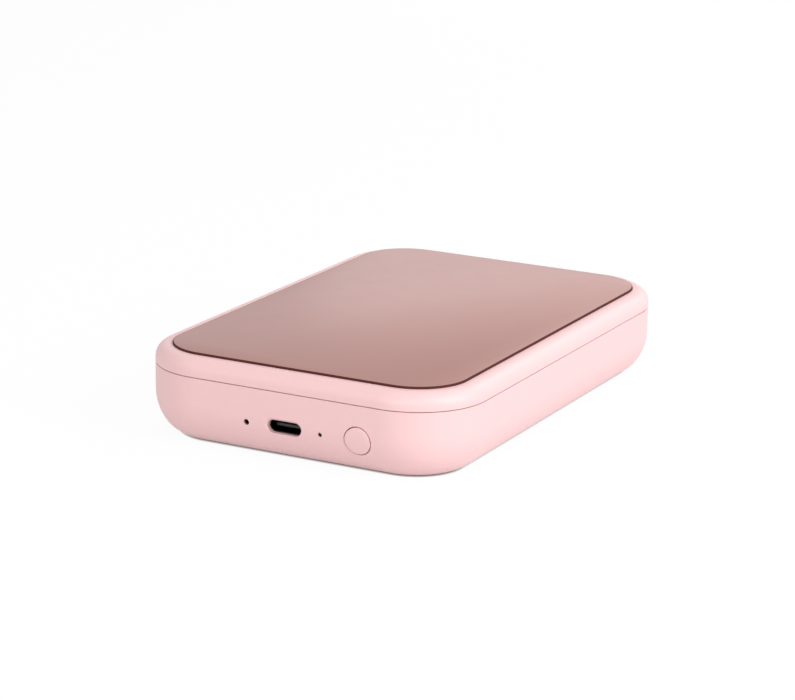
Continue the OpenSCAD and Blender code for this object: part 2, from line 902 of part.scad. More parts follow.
module power_switch() {
    color(black) switch_case(button_x, power_switch_w, power_switch_h,
        stem_end + switch_gap, stem_r);
}

module reset_switch() {
    color(black) switch_case(reset_x, reset_switch_w, reset_switch_h,
        stem_end + switch_gap, plunger_r);
}

module switch_plunger() {
    color(white) rod_y(stem_end, stem_end + switch_gap + switch_press, button_x, control_z, stem_r);
}

module reset_plunger() {
    color(white) rod_y(stem_end - switch_press, stem_end + switch_gap + switch_press,
        reset_x, control_z, plunger_r);
}

module power_button() {
    flange_y = pocket_y + 0.1;
    color(pink) {
        intersection() {
            rod_y(front - cut, flange_y, button_x, control_z, button_d / 2);
            translate([button_x, 0, 0]) rotate([90, 0, 90])
                linear_extrude(height = button_d + cut, center = true)
                translate([-rear + corner_r + button_set, 0]) mirror([1, 0]) section(0, body_h, shoulder_r);
        }
        rod_y(flange_y, flange_y + flange_t, button_x, control_z, button_d / 2 + flange_rim);
        rod_y(flange_y + flange_t, stem_end, button_x, control_z, stem_r);
    }
}

module status_led() {
    color(white) block([light_x - led_w / 2, led_y, port_z],
        [light_x + led_w / 2, led_y + led_w, port_z + led_h]);
}

module light_pipe() {
    color(white) {
        rod_y(front + pipe_back, led_y, light_x, control_z, light_d / 2 - pipe_fit);
        block([light_x - pipe_rim, led_y, port_z + led_h + 0.1],
            [light_x + pipe_rim, led_y + led_w, control_z + pipe_rim]);
    }
}

module processor_shield() {
    back = board_rear - part_back;
    color(steel) block([shield_x, back - shield_l, port_z], [shield_x + shield_w, back, port_z + shield_h]);
}

module radio_module() {
    back = board_rear - part_back;
    color(black) block([radio_x, back - radio_l, port_z], [radio_x + radio_w, back, port_z + radio_h]);
}

module battery_socket() {
    back = board_rear - socket_back;
    color(white) block([battery_socket_x, back - battery_socket_l, port_z],
        [battery_socket_x + battery_socket_w, back, port_z + socket_h]);
}

module motor_socket() {
    back = motor_socket_y + motor_socket_l / 2;
    color(white) block([socket_x, back - motor_socket_l, port_z],
        [socket_x + motor_socket_w, back, port_z + motor_socket_h]);
}

module flex_socket() {
    back = board_rear - socket_back;
    color(black) block([socket_x, back - motor_socket_l, port_z],
        [socket_x + flex_socket_w, back, port_z + socket_h]);
}

module battery_pack() {
    color("#9AA0A6") {
        block([-battery_w / 2, battery_front, battery_z],
            [battery_w / 2, battery_front + battery_l, battery_z + battery_t]);
        block([-battery_w / 2 + battery_cap_in, battery_front - battery_cap_l, battery_z + battery_cap_low],
            [battery_w / 2 - battery_cap_in, battery_front, battery_z + battery_t - battery_cap_low]);
    }
}

// A quarter bend of wire about the x axis, from the start angle on
module wire_bend(x, y, z, start) {
    translate([x, y, z]) rotate([0, 0, 90]) rotate([90, 0, 0]) rotate([0, 0, start])
        rotate_extrude(angle = 90) translate([wire_bend_r, 0]) circle(wire_r);
}

// Two wires that leave the battery's end, rise and turn into their socket
module battery_lead() {
    end_y = battery_front - battery_cap_l;
    socket_y = board_rear - socket_back;
    low = battery_z + battery_t / 2;
    high = port_z + socket_h / 2;
    middle = (end_y + socket_y) / 2;
    color("#B03030") for (x = battery_lead_xs) {
        rod_y(middle + wire_bend_r, end_y, x, low, wire_r);
        wire_bend(x, middle + wire_bend_r, low + wire_bend_r, 180);
        rod_z(low + wire_bend_r, high - wire_bend_r, x, middle, wire_r);
        wire_bend(x, middle - wire_bend_r, high - wire_bend_r, 0);
        rod_y(socket_y, middle - wire_bend_r, x, high, wire_r);
    }
}

module motor_case() {
    color(steel) difference() {
        intersection() {
            rod_x(motor_face - motor_l, motor_face, motor_at, motor_w / 2);
            block([0, motor_y - motor_w, motor_z - motor_h / 2],
                [side, motor_y + motor_w, motor_z + motor_h / 2]);
        }
        rod_x(motor_face - motor_bore_l, side, motor_at, motor_shaft_r + run_fit);
        for (s = [-1, 1])
            rod_x(motor_face - motor_screw_bite, side, motor_at + [motor_screw_y * s, 0], screw_r);
    }
}

module motor_screws() {
    color(steel) for (s = [-1, 1]) {
        at = motor_at + [motor_screw_y * s, 0];
        rod_x(motor_face - motor_screw_bite, frame_out, at, screw_r);
        rod_x(frame_out, frame_out + motor_head_h, at, head_r);
    }
}

module motor_shaft() {
    inner_end = motor_face - motor_bore_l + motor_end_play;
    color(steel) rod_x(inner_end, outer_row + outer_gear_w, motor_at, motor_shaft_r);
}

module motor_pinion() {
    color(brass) along_x(outer_row, motor_at) rotate([0, 0, motor_turn])
        gear(pinion_teeth, outer_gear_w, motor_shaft_r + press_room);
}

module compound_gear() {
    color(white) {
        along_x(inner_row, compound_at) rotate([0, 0, compound_turn])
            gear(pinion_teeth, gear_w + 2 * row_gap, post_r + run_fit);
        along_x(outer_row, compound_at) rotate([0, 0, compound_turn])
            gear(compound_teeth, outer_gear_w, post_r + run_fit);
    }
}

module idler_gear() {
    color(white) along_x(inner_row, idler_at) rotate([0, 0, idler_turn])
        gear(idler_teeth, gear_w, post_r + run_fit);
}

module platen_gear() {
    color(white) along_x(inner_row, platen_at) rotate([0, 0, platen_turn])
        gear(platen_teeth, gear_w, shaft_r + press_room);
}

module pick_gear() {
    color(white) along_x(inner_row, pick_at) rotate([0, 0, pick_turn])
        gear(pick_teeth, gear_w, shaft_r + press_room);
}

module gear_posts() {
    inner_end = frame_x - 0.3;
    color(steel) {
        rod_x(inner_end, outer_row + outer_gear_w + post_end, compound_at, post_r);
        rod_x(inner_end, inner_row + gear_w + post_end, idler_at, post_r);
        for (at = [compound_at, idler_at])
            rod_x(frame_out, frame_out + post_shoulder, at, post_r + post_end);
    }
}

module clip(gear_end, at) {
    tube_x(gear_end + clip_gap, gear_end + clip_gap + clip_t, at, clip_r, post_r);
}

module post_clips() {
    color(black) {
        clip(outer_row + outer_gear_w, compound_at);
        clip(inner_row + gear_w, idler_at);
    }
}

module platen_shaft() {
    color(steel) rod_x(-frame_out - stub, inner_row + gear_w, platen_at, shaft_r);
}

module platen_rubber() {
    color(black) tube_x(-frame_x + platen_end, frame_x - platen_end, platen_at, platen_r, shaft_r);
}

module pick_shaft() {
    color(steel) rod_x(-frame_out - stub, inner_row + gear_w, pick_at, shaft_r);
}

module pick_core() {
    color(white) tube_x(-tyre_out - core_end, tyre_out + core_end, pick_at, core_r, shaft_r);
}

module pick_tyres() {
    color(black) both_sides() tube_x(tyre_in, tyre_out, pick_at, pick_r, core_r);
}

module print_head() {
    y = platen_y + head_shift;
    x = sink_x - head_end;
    color(white) block([-x, y - head_l / 2, nip_z], [x, y + head_l / 2, sink_z]);
}

module heat_sink() {
    pivot = [head_pivot_y, head_pivot_z];
    fin_y = platen_y + head_shift - fin_t / 2;
    color(steel) difference() {
        union() {
            block([-sink_x, platen_y - head_l / 2, sink_z], [sink_x, head_pivot_y - 3, sink_top]);
            both_sides() {
                rod_x(sink_x - ear_l, sink_x, pivot, ear_r);
                block([sink_x - ear_l, head_pivot_y - 4, head_pivot_z - ear_t],
                    [sink_x, head_pivot_y, sink_top]);
            }
            for (i = [-2, -1, 1, 2]) translate([0, fin_y + i * fin_step, sink_top])
                block([-fin_x, 0, 0], [fin_x, fin_t, fin_h]);
        }
        rod_x(-side, side, [head_pivot_y, head_pivot_z], pivot_shaft_r + run_fit);
    }
}

module head_pivot_shaft() {
    end = frame_out + pivot_shaft_end;
    color(steel) rod_x(-end, end, [head_pivot_y, head_pivot_z], pivot_shaft_r);
}

module spring_bridge() {
    color(steel) block([-frame_out, platen_y - bridge_w / 2, bridge_z],
        [frame_out, platen_y + bridge_w / 2, bridge_z + bridge_t]);
}

module head_springs() {
    color(steel) both_sides() translate([head_spring_x, platen_y, sink_top])
        spring(head_spring_r, head_wire_r, bridge_z - sink_top, spring_turns);
}

module pressure_springs() {
    color(steel) both_sides() translate([press_spring_x, pick_y, press_z + press_t])
        spring(press_spring_r, press_wire_r, ceiling_z - press_z - press_t, spring_turns);
}

// Flat cable from the head's end, down the left side and forward to its socket
module head_flex() {
    head_from = platen_y + 3;
    head_to = head_from + flex_w;
    end_y = board_rear - 3;
    entry = port_z + socket_h / 2;
    color("#C98A3A") {
        along_x(-flex_x - flex_t, [0, 0]) linear_extrude(height = flex_t) polygon([
            [end_y, flex_low], [head_to, flex_low], [head_to, sink_z + flex_t],
            [head_from, sink_z + flex_t], [head_from, flex_high], [end_y, flex_high]
        ]);
        block([-flex_x - flex_t, head_from, sink_z], [-frame_out - 0.1, head_to, sink_z + flex_t]);
        block([-flex_x - flex_t, end_y, entry - flex_t / 2],
            [socket_x, end_y + flex_end_w, entry + flex_t / 2]);
    }
}

// Two wires from the motor, out through the left side and forward to their socket
module motor_lead() {
    color("#303A80") for (z = [lead_low, lead_low + lead_step]) {
        rod_x(-lead_x, motor_face - motor_l, [motor_y, z], wire_r);
        rod_y(motor_socket_y, motor_y, -lead_x, z, wire_r);
        for (y = [motor_y, motor_socket_y]) translate([-lead_x, y, z]) sphere(wire_r);
        rod_x(-lead_x, socket_x, [motor_socket_y, z], wire_r);
    }
}

module exit_guide() {
    from = motor_y - guide_front;
    to = rear - guide_back;
    color(white) {
        block([-frame_x + tray_fit, from, tray_low], [frame_x - tray_fit, to, bay_z]);
        block([-guide_x, to - bond, tray_low], [guide_x, rear - wall, bay_z - 0.1]);
        for (i = [-3 : 3]) translate([i * guide_rib_step, 0, bay_z])
            block([-guide_rib_t / 2, from + 1, 0], [guide_rib_t / 2, to, guide_rib_h]);
    }
}

module paper_sensor() {
    top = tray_low + 0.3;
    color(black) block([-sensor_x, sensor_y - sensor_l, top - sensor_h], [sensor_x, sensor_y, top]);
}

module base_magnets() {
    color(steel) both_sides() rod_z(magnet_low, magnet_low + magnet_t, magnet_x, magnet_y, magnet_r);
}

module cover_magnets() {
    color(steel) both_sides()
        rod_z(cover_magnet_low, cover_magnet_low + magnet_t, magnet_x, magnet_y, magnet_r);
}

module hinge_pins() {
    half = hinge_pin_l / 2;
    color(steel) both_sides() rod_x(knuckle_x - half, knuckle_x + half, [hinge_y, hinge_z], hinge_pin_r);
}

module top_cover() {
    color(pink) {
        difference() {
            union() {
                ring() difference() {
                    intersection() {
                        section(0, body_h, shoulder_r);
                        translate([0, seam_high]) square([corner_r, body_h]);
                    }
                    section(wall, ceiling_z, ceiling_r);
                }
                block([-corner_x, -corner_y, ceiling_z], [corner_x, corner_y, body_h]);
                cover_barrel();
                cover_pillars();
                press_lugs();
            }
            translate([0, 0, recess_z]) linear_extrude(height = body_h)
                rounded_plan(body_w - 2 * (plate_inset - plate_fit), body_l - 2 * (plate_inset - plate_fit),
                    plate_r + plate_fit);
            both_sides() hinge_notch();
            rod_x(-barrel_x - cut, barrel_x + cut, [hinge_y, hinge_z], hinge_pin_r + run_fit);
        }
    }
}

// Barrel along the rear edge, joined to the wall above the seam
module cover_barrel() {
    rod_x(-barrel_x, barrel_x, [hinge_y, hinge_z], barrel_r);
    block([-barrel_x, hinge_y - barrel_r, hinge_z + 0.3], [barrel_x, rear - wall / 2, ceiling_z]);
}

module hinge_notch() {
    x0 = knuckle_x - knuckle_w / 2 - hinge_gap;
    x1 = knuckle_x + knuckle_w / 2 + hinge_gap;
    rod_x(x0, x1, [hinge_y, hinge_z], barrel_r + hinge_gap);
    block([x0, hinge_y - barrel_r - hinge_gap, knuckle_low], [x1, rear + cut, hinge_z + notch_rise]);
}

// Pillars that hold the cover's magnets over those of the base
module cover_pillars() {
    low = cover_magnet_low;
    both_sides() difference() {
        rod_z(low, ceiling_z + bond, magnet_x, magnet_y, magnet_r + magnet_wall);
        rod_z(low - cut, low + magnet_t, magnet_x, magnet_y, magnet_r);
    }
}

// Ears that carry the pressure plate's pivots, and hooks that stop its free end
module press_lugs() {
    ear_x = press_w / 2 + lug_gap;
    hook_x = press_w / 2 + press_side;
    at = [press_pivot_y, press_pivot_z];
    both_sides() {
        difference() {
            union() {
                rod_x(ear_x, ear_x + lug_t, at, lug_r);
                block([ear_x, press_pivot_y - lug_r, press_pivot_z],
                    [ear_x + lug_t, press_pivot_y + lug_r, ceiling_z + bond]);
            }
            rod_x(0, side, at, pivot_r + run_fit);
        }
        block([hook_x, stop_y, press_z - stop_gap - stop_h],
            [hook_x + stop_t, stop_y + stop_w, ceiling_z + bond]);
        block([press_w / 2 - stop_reach, stop_y, press_z - stop_gap - stop_h],
            [hook_x + bond, stop_y + stop_w, press_z - stop_gap]);
    }
}

module pressure_plate() {
    at = [press_pivot_y, press_pivot_z];
    color(steel) {
        block([-press_w / 2, press_pivot_y, press_z], [press_w / 2, press_end, press_z + press_t]);
        both_sides() {
            rod_x(press_knuckle_in, press_w / 2 + press_side, at, knuckle_r);
            rod_x(press_w / 2, press_w / 2 + press_pin_l, at, pivot_r);
            block([tyre_in - shoe_margin, pick_y - shoe_l / 2, felt_low + felt_t],
                [tyre_out + shoe_margin, pick_y + shoe_l / 2, press_z]);
        }
    }
}

module pressure_felts() {
    color(black) both_sides() block([tyre_in - shoe_margin, pick_y - shoe_l / 2, felt_low],
        [tyre_out + shoe_margin, pick_y + shoe_l / 2, felt_low + felt_t]);
}

module top_plate() {
    color(rose_gold) translate([0, 0, plate_z]) linear_extrude(height = plate_t)
        rounded_plan(body_w - 2 * plate_inset, body_l - 2 * plate_inset, plate_r);
}

module plate_adhesive() {
    color(dark_edge) translate([0, 0, recess_z]) linear_extrude(height = glue_t)
        rounded_plan(body_w - 2 * plate_inset, body_l - 2 * plate_inset, plate_r);
}

base_shell();
paper_tray();
engine_frame();
tray_screws();
frame_screws();
main_board();
board_screws();
usb_shell();
usb_tongue();
power_switch();
reset_switch();
status_led();
light_pipe();
processor_shield();
radio_module();
battery_socket();
motor_socket();
flex_socket();
battery_pack();
battery_lead();
motor_case();
motor_screws();
motor_lead();
roller_bushes();
gear_posts();
post_clips();
exit_guide();
spring_bridge();
head_springs();
head_flex();
paper_sensor();
separation_pad();
base_magnets();
hinge_pins();
head_pivot_shaft();
top_cover();
top_plate();
plate_adhesive();
cover_magnets();
pressure_springs();
pressure_plate();
pressure_felts();
power_button();
switch_plunger();
reset_plunger();
platen_shaft();
platen_rubber();
platen_gear();
pick_shaft();
pick_core();
pick_tyres();
pick_gear();
idler_gear();
compound_gear();
motor_shaft();
motor_pinion();
print_head();
heat_sink();
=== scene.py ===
"""Compact photo printer: its looks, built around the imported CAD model.

The body is moulded in pink ABS with a fine matt texture, and a rose-gold aluminium panel covers its top.
Under the hinged cover are the paper tray, the pressure plate, the rollers with their gear train and the
thermal print head. All lengths are in metres, in the frame of the CAD model: front at -Y, bottom at z = 0.
"""

import json
import math

import bmesh
import bpy
from mathutils import Matrix, Vector

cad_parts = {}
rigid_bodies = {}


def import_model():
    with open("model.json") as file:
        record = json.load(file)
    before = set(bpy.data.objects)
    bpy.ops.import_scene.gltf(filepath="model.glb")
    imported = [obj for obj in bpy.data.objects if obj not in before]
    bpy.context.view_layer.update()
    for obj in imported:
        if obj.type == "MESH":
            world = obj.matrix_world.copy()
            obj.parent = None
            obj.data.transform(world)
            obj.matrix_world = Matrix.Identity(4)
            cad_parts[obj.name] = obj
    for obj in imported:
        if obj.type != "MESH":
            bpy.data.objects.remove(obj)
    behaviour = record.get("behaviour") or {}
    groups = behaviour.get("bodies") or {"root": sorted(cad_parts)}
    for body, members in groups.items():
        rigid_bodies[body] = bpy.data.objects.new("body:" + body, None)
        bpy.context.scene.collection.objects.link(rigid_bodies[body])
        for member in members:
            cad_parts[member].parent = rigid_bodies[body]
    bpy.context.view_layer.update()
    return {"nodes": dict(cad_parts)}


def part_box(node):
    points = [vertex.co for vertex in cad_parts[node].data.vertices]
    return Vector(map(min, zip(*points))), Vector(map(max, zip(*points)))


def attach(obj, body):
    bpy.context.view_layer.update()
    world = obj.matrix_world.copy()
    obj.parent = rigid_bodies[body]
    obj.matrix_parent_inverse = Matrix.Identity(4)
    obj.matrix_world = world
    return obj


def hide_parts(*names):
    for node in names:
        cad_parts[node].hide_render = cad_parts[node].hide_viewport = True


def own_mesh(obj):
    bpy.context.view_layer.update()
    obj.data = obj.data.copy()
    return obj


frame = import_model()

MM = 0.001
X, Y, Z = Vector((1, 0, 0)), Vector((0, 1, 0)), Vector((0, 0, 1))


# Materials

def linear(colour):
    """The linear RGBA value of an sRGB hex colour."""
    parts = [int(colour[i:i + 2], 16) / 255 for i in (1, 3, 5)]
    return [c / 12.92 if c <= 0.04045 else ((c + 0.055) / 1.055) ** 2.4 for c in parts] + [1]


def add_node(tree, kind, inputs, **settings):
    """Adds a node. inputs gives each socket its value, or the output that feeds it."""
    made = tree.nodes.new(kind)
    for name, value in settings.items():
        setattr(made, name, value)
    for name, value in inputs.items():
        if isinstance(value, bpy.types.NodeSocket):
            tree.links.new(value, made.inputs[name])
        else:
            made.inputs[name].default_value = value
    return made


def empty_tree(owner):
    """Switches on the nodes of a material or the world, and empties its tree."""
    owner.use_nodes = True
    owner.node_tree.nodes.clear()
    return owner.node_tree


def finish_material(name, dark, light, rough, grain_mm, depth_mm, stretch=(1, 1, 1), edge_mm=0.08, **shader):
    """A material whose colour and roughness vary between two values with a fine grain.

    grain_mm is the size of one grain, depth_mm how deep it is. stretch draws the grain out into streaks
    along an axis, and edge_mm rounds the edges by that radius. Grains under about 0.1 mm wouldn't show, so
    they are drawn coarser than they are.
    """
    made = bpy.data.materials.new(name)
    tree = empty_tree(made)
    place = add_node(tree, "ShaderNodeTexCoord", {})
    drawn = add_node(tree, "ShaderNodeMapping", {"Vector": place.outputs["Object"], "Scale": stretch})
    grain = add_node(tree, "ShaderNodeTexNoise", {
        "Vector": drawn.outputs["Vector"], "Scale": 1 / (grain_mm * MM), "Detail": 3.0})
    cloud = add_node(tree, "ShaderNodeTexNoise", {
        "Vector": drawn.outputs["Vector"], "Scale": 1 / (40 * grain_mm * MM), "Detail": 2.0})
    blend = add_node(tree, "ShaderNodeMix", {
        "Factor": 0.35, "A": grain.outputs["Fac"], "B": cloud.outputs["Fac"]}, data_type="FLOAT")
    tint = add_node(tree, "ShaderNodeMix", {
        0: blend.outputs["Result"], 6: linear(dark), 7: linear(light)}, data_type="RGBA")
    dull = add_node(tree, "ShaderNodeMapRange", {
        "Value": blend.outputs["Result"], "From Min": 0.3, "From Max": 0.7,
        "To Min": rough[0], "To Max": rough[1]})
    edge = add_node(tree, "ShaderNodeBevel", {"Radius": edge_mm * MM}, samples=4)
    bump = add_node(tree, "ShaderNodeBump", {
        "Height": grain.outputs["Fac"], "Distance": depth_mm * MM, "Normal": edge.outputs["Normal"]})
    surface = add_node(tree, "ShaderNodeBsdfPrincipled", {
        "Base Color": tint.outputs[2], "Roughness": dull.outputs["Result"], "Normal": bump.outputs["Normal"],
        **shader})
    add_node(tree, "ShaderNodeOutputMaterial", {"Surface": surface.outputs["BSDF"]})
    return made


# Moulded ABS with a spark-eroded matt texture: soft highlights, colour even to the eye
pink_abs = finish_material("Pink ABS, matt moulded", "#EFC5C6", "#F4CBCB", (0.40, 0.48), 0.25, 0.006)
# Aluminium sheet, bead-blasted and anodised rose gold: satin, darker where it mirrors little light
rose_gold = finish_material(
    "Rose-gold anodised aluminium", "#AC817B", "#B38882", (0.36, 0.42), 0.15, 0.002, Metallic=1.0)
# Dark metal on the port's shell: a dark mirror, so the port looks black from outside
dark_port_metal = finish_material(
    "Dark port-shell metal", "#2A2828", "#383636", (0.2, 0.3), 0.15, 0.001, Metallic=1.0)
# Stainless steel strip, cold rolled: bright, with faint drawing lines
stainless = finish_material(
    "Rolled stainless steel", "#B4B2AE", "#CFCDC9", (0.16, 0.28), 0.15, 0.001, stretch=(1, 0.06, 1),
    Metallic=1.0)
# Gold flashing over nickel on the port's contacts: warm yellow mirror
gold = finish_material(
    "Gold-flashed contacts", "#C79B45", "#E2BC66", (0.14, 0.24), 0.1, 0.001, Metallic=1.0)
# Liquid-crystal polymer of the port's tongue: dark greenish grey and slightly glossy
tongue_polymer = finish_material(
    "Dark liquid-crystal polymer", "#1B211E", "#2C3430", (0.28, 0.38), 0.15, 0.002)
# Spring wire, drawn and nickel plated: bright neutral grey
spring_steel = finish_material(
    "Nickel-plated spring wire", "#9FA1A2", "#BDBFBF", (0.20, 0.32), 0.2, 0.002, Metallic=1.0)
# Dark red-brown and nearly matt: on the panel's side and top chamfer, on the adhesive under it and on the
# head's heater line
dark_edge = finish_material(
    "Dark red-brown panel edge", "#4A211C", "#5A2D27", (0.55, 0.65), 0.2, 0.002,
    **{"Specular IOR Level": 0.15})
# Acetal as moulded: slippery, slightly waxy white
white_pom = finish_material("White acetal", "#DEDDD8", "#E8E7E3", (0.30, 0.38), 0.4, 0.003)
# Glass-filled nylon: black with a dry, faintly speckled skin
black_plastic = finish_material("Black glass-filled nylon", "#161618", "#26262A", (0.42, 0.55), 0.3, 0.006)
# Zinc-plated sheet steel, rolled: satin grey with streaks along its length
steel = finish_material(
    "Zinc-plated rolled steel", "#A9ADB1", "#C3C6C9", (0.28, 0.42), 0.3, 0.003, stretch=(0.08, 1, 1),
    Metallic=1.0)
# Extruded aluminium, clear anodised: pale grey with long faint lines
aluminium = finish_material(
    "Clear anodised aluminium", "#B8BBBE", "#CDD0D2", (0.34, 0.44), 0.25, 0.003, stretch=(0.05, 1, 1),
    Metallic=1.0)
# Free-cutting brass, turned: bright yellow with fine rings
brass = finish_material("Turned brass", "#C39A48", "#DDB967", (0.22, 0.34), 0.2, 0.002, Metallic=1.0)
# Ground EPDM rubber: dull black, velvety at a glancing angle
rubber = finish_material("Ground black rubber", "#1C1C1E", "#2B2B2D", (0.72, 0.85), 0.2, 0.012)
# Pressed wool felt: fibres give it a rough grey nap
felt = finish_material(
    "Grey wool felt", "#3A3B3E", "#5A5B5F", (0.90, 0.98), 0.18, 0.08, stretch=(1, 0.35, 1),
    **{"Sheen Weight": 0.4})
# Glass-epoxy board under printed solder mask: glossy green over a faint weave
circuit_board = finish_material(
    "Green solder mask", "#124A2C", "#1F6A42", (0.25, 0.34), 1.2, 0.006, stretch=(1, 0.25, 1))
# Glazed alumina: hard, glossy and warm white
ceramic = finish_material("Glazed alumina", "#E4E0D4", "#EFECE2", (0.12, 0.2), 0.5, 0.001)
# Laminated pouch foil: satin silver with soft dimples
battery_foil = finish_material(
    "Pouch-cell foil", "#A5A8AC", "#BEC1C4", (0.30, 0.45), 2.5, 0.05, Metallic=0.9)
# Cast acrylic: clear
clear_acrylic = finish_material(
    "Clear acrylic", "#F0F4F4", "#FFFFFF", (0.05, 0.1), 0.5, 0.001, IOR=1.49,
    **{"Transmission Weight": 0.9})
# Cast acrylic with a smoke tint: looks dark until the light behind it is on
smoked_acrylic = finish_material(
    "Smoke-tinted acrylic", "#2A2627", "#342F30", (0.05, 0.1), 0.5, 0.001, IOR=1.49,
    **{"Transmission Weight": 0.5})
# PVC insulation of stranded wire: slightly glossy
red_wire = finish_material("Red PVC insulation", "#8E1F1C", "#A82A26", (0.30, 0.4), 0.4, 0.004)
blue_wire = finish_material("Blue PVC insulation", "#1E2F72", "#2A3F8E", (0.30, 0.4), 0.4, 0.004)
# Barium titanate body of a ceramic capacitor: dry, light brown
capacitor_body = finish_material("Capacitor ceramic", "#9A8264", "#B39A78", (0.5, 0.6), 0.2, 0.004)
# Polyimide tape: glossy amber film
polyimide = finish_material(
    "Amber polyimide film", "#A8641E", "#C98A3A", (0.16, 0.24), 0.6, 0.004, stretch=(0.1, 0.1, 1))


def track_material(name, film, copper, pitch_mm, rough):
    """Copper tracks under a clear film. They lie side by side across the cable, whichever way it faces."""
    made = bpy.data.materials.new(name)
    tree = empty_tree(made)
    place = add_node(tree, "ShaderNodeTexCoord", {})
    spot = add_node(tree, "ShaderNodeSeparateXYZ", {0: place.outputs["Object"]})
    facing = add_node(tree, "ShaderNodeSeparateXYZ", {0: place.outputs["Normal"]})
    level = add_node(tree, "ShaderNodeMath", {0: facing.outputs["Z"]}, operation="ABSOLUTE")
    across = add_node(tree, "ShaderNodeMix", {
        "Factor": level.outputs["Value"], "A": spot.outputs["Z"], "B": spot.outputs["Y"]}, data_type="FLOAT")
    phase = add_node(tree, "ShaderNodeMath", {
        0: across.outputs["Result"], 1: math.tau / (pitch_mm * MM)}, operation="MULTIPLY")
    wave = add_node(tree, "ShaderNodeMath", {0: phase.outputs["Value"]}, operation="SINE")
    track = add_node(tree, "ShaderNodeMapRange", {
        "Value": wave.outputs["Value"], "From Min": -0.2, "From Max": 0.3})
    tint = add_node(tree, "ShaderNodeMix", {
        0: track.outputs["Result"], 6: linear(film), 7: linear(copper)}, data_type="RGBA")
    bump = add_node(tree, "ShaderNodeBump", {"Height": track.outputs["Result"], "Distance": 0.01 * MM})
    surface = add_node(tree, "ShaderNodeBsdfPrincipled", {
        "Base Color": tint.outputs[2], "Roughness": rough, "Normal": bump.outputs["Normal"]})
    add_node(tree, "ShaderNodeOutputMaterial", {"Surface": surface.outputs["BSDF"]})
    return made


# Flat cable of the print head: amber polyimide over copper, its tracks raised a little through the film
flat_cable = track_material("Polyimide flat cable", "#8F5216", "#D09A45", 0.8, 0.22)

SLOT_MATERIALS = {
    "pink_abs": pink_abs,
    "rose_gold_panel": rose_gold,
    "dark_adhesive": dark_edge,
    "white_pom": white_pom,
    "black_plastic": black_plastic,
    "steel": steel,
    "aluminium": aluminium,
    "brass": brass,
    "rubber": rubber,
    "felt": felt,
    "circuit_board": circuit_board,
    "ceramic": ceramic,
    "battery_foil": battery_foil,
    "clear_acrylic": clear_acrylic,
    "red_wire": red_wire,
    "blue_wire": blue_wire,
    "polyimide": polyimide,
}

for cad_node in frame["nodes"].values():
    for slot in cad_node.material_slots:
        slot.material = SLOT_MATERIALS[slot.material.name.split(".")[0]]
frame["nodes"]["light_pipe"].material_slots[0].material = smoked_acrylic
frame["nodes"]["head_flex"].material_slots[0].material = flat_cable


# Pieces

def piece(name, shape, materials, body, replaced=()):
    """Makes the object of a finished bmesh, rides it on its body and hides the CAD nodes it stands for."""
    bmesh.ops.recalc_face_normals(shape, faces=shape.faces)
    mesh = bpy.data.meshes.new(name)
    shape.to_mesh(mesh)
    shape.free()
    made = bpy.data.objects.new(name, mesh)
    bpy.context.scene.collection.objects.link(made)
    for each in materials:
        mesh.materials.append(each)
    mesh.shade_smooth()
    mesh.set_sharp_from_angle(angle=math.radians(35))
    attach(made, body)
    if replaced:
        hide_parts(*replaced)
    return made


def box_shape(low, high):
    """A bmesh block between two corners."""
    shape = bmesh.new()
    bmesh.ops.create_cube(shape, size=1)
    bmesh.ops.scale(shape, vec=high - low, verts=shape.verts)
    bmesh.ops.translate(shape, vec=(low + high) / 2, verts=shape.verts)
    return shape


def round_edges(shape, edges, radius, segments):
    """Rounds the edges of a bmesh that are given."""
    bmesh.ops.bevel(
        shape, geom=list(edges), offset=radius, affect="EDGES", segments=segments, profile=0.5, material=-1,
        clamp_overlap=True)


def runs_along(edge, axis):
    """True for an edge that is parallel to the axis."""
    direction = (edge.verts[1].co - edge.verts[0].co).normalized()
    return abs(direction.dot(axis)) > 0.999


def lathe(outline, centre, axis, across, steps):
    """A closed solid of revolution. outline gives each point's place along the axis and its radius."""
    shape = bmesh.new()
    chain = [shape.verts.new(centre + axis * along + across * radius) for along, radius in outline]
    for first, second in zip(chain, chain[1:]):
        shape.edges.new((first, second))
    bmesh.ops.spin(
        shape, geom=shape.verts[:] + shape.edges[:], cent=centre, axis=axis, angle=math.tau, steps=steps,
        use_merge=True, use_duplicate=False)
    bmesh.ops.remove_doubles(shape, verts=shape.verts, dist=1e-6)
    return shape


def join(shape, other, material_index):
    """Adds another bmesh's faces to shape, all with one material."""
    for face in other.faces:
        face.material_index = material_index
    carrier = bpy.data.meshes.new("carrier")
    other.to_mesh(carrier)
    other.free()
    shape.from_mesh(carrier)
    bpy.data.meshes.remove(carrier)


def soft_block(low, high, radius, segments=2):
    """A block with all its edges rounded."""
    shape = box_shape(Vector(low), Vector(high))
    round_edges(shape, shape.edges[:], radius, segments)
    return shape


def assemble(parts):
    """One bmesh made of several, each given with the number of its material."""
    whole = bmesh.new()
    for shape, number in parts:
        join(whole, shape, number)
    return whole


def loft(loops):
    """A closed solid through loops of points, all with the same number of points, with both ends filled."""
    shape = bmesh.new()
    rings = []
    for loop in loops:
        verts = [shape.verts.new(point) for point in loop]
        rings.append([shape.edges.new(pair) for pair in zip(verts, verts[1:] + verts[:1])])
    for first, second in zip(rings, rings[1:]):
        bmesh.ops.bridge_loops(shape, edges=first + second)
    for end in (rings[0], rings[-1]):
        bmesh.ops.contextual_create(shape, geom=end)
    return shape


def disc(centre, radius, height, chamfer, steps=40):
    """An upright disc with its foot at centre and a fine chamfer round both faces."""
    outline = [
        (0, 0), (0, radius - chamfer), (chamfer, radius),
        (height - chamfer, radius), (height, radius - chamfer), (height, 0)]
    return lathe(outline, Vector(centre), Z, X, steps)


# Top panel: rounded corners, and a fine chamfer that shows the dark edge
PANEL_CORNER = 12.13 * MM
PANEL_EDGE = 0.2 * MM
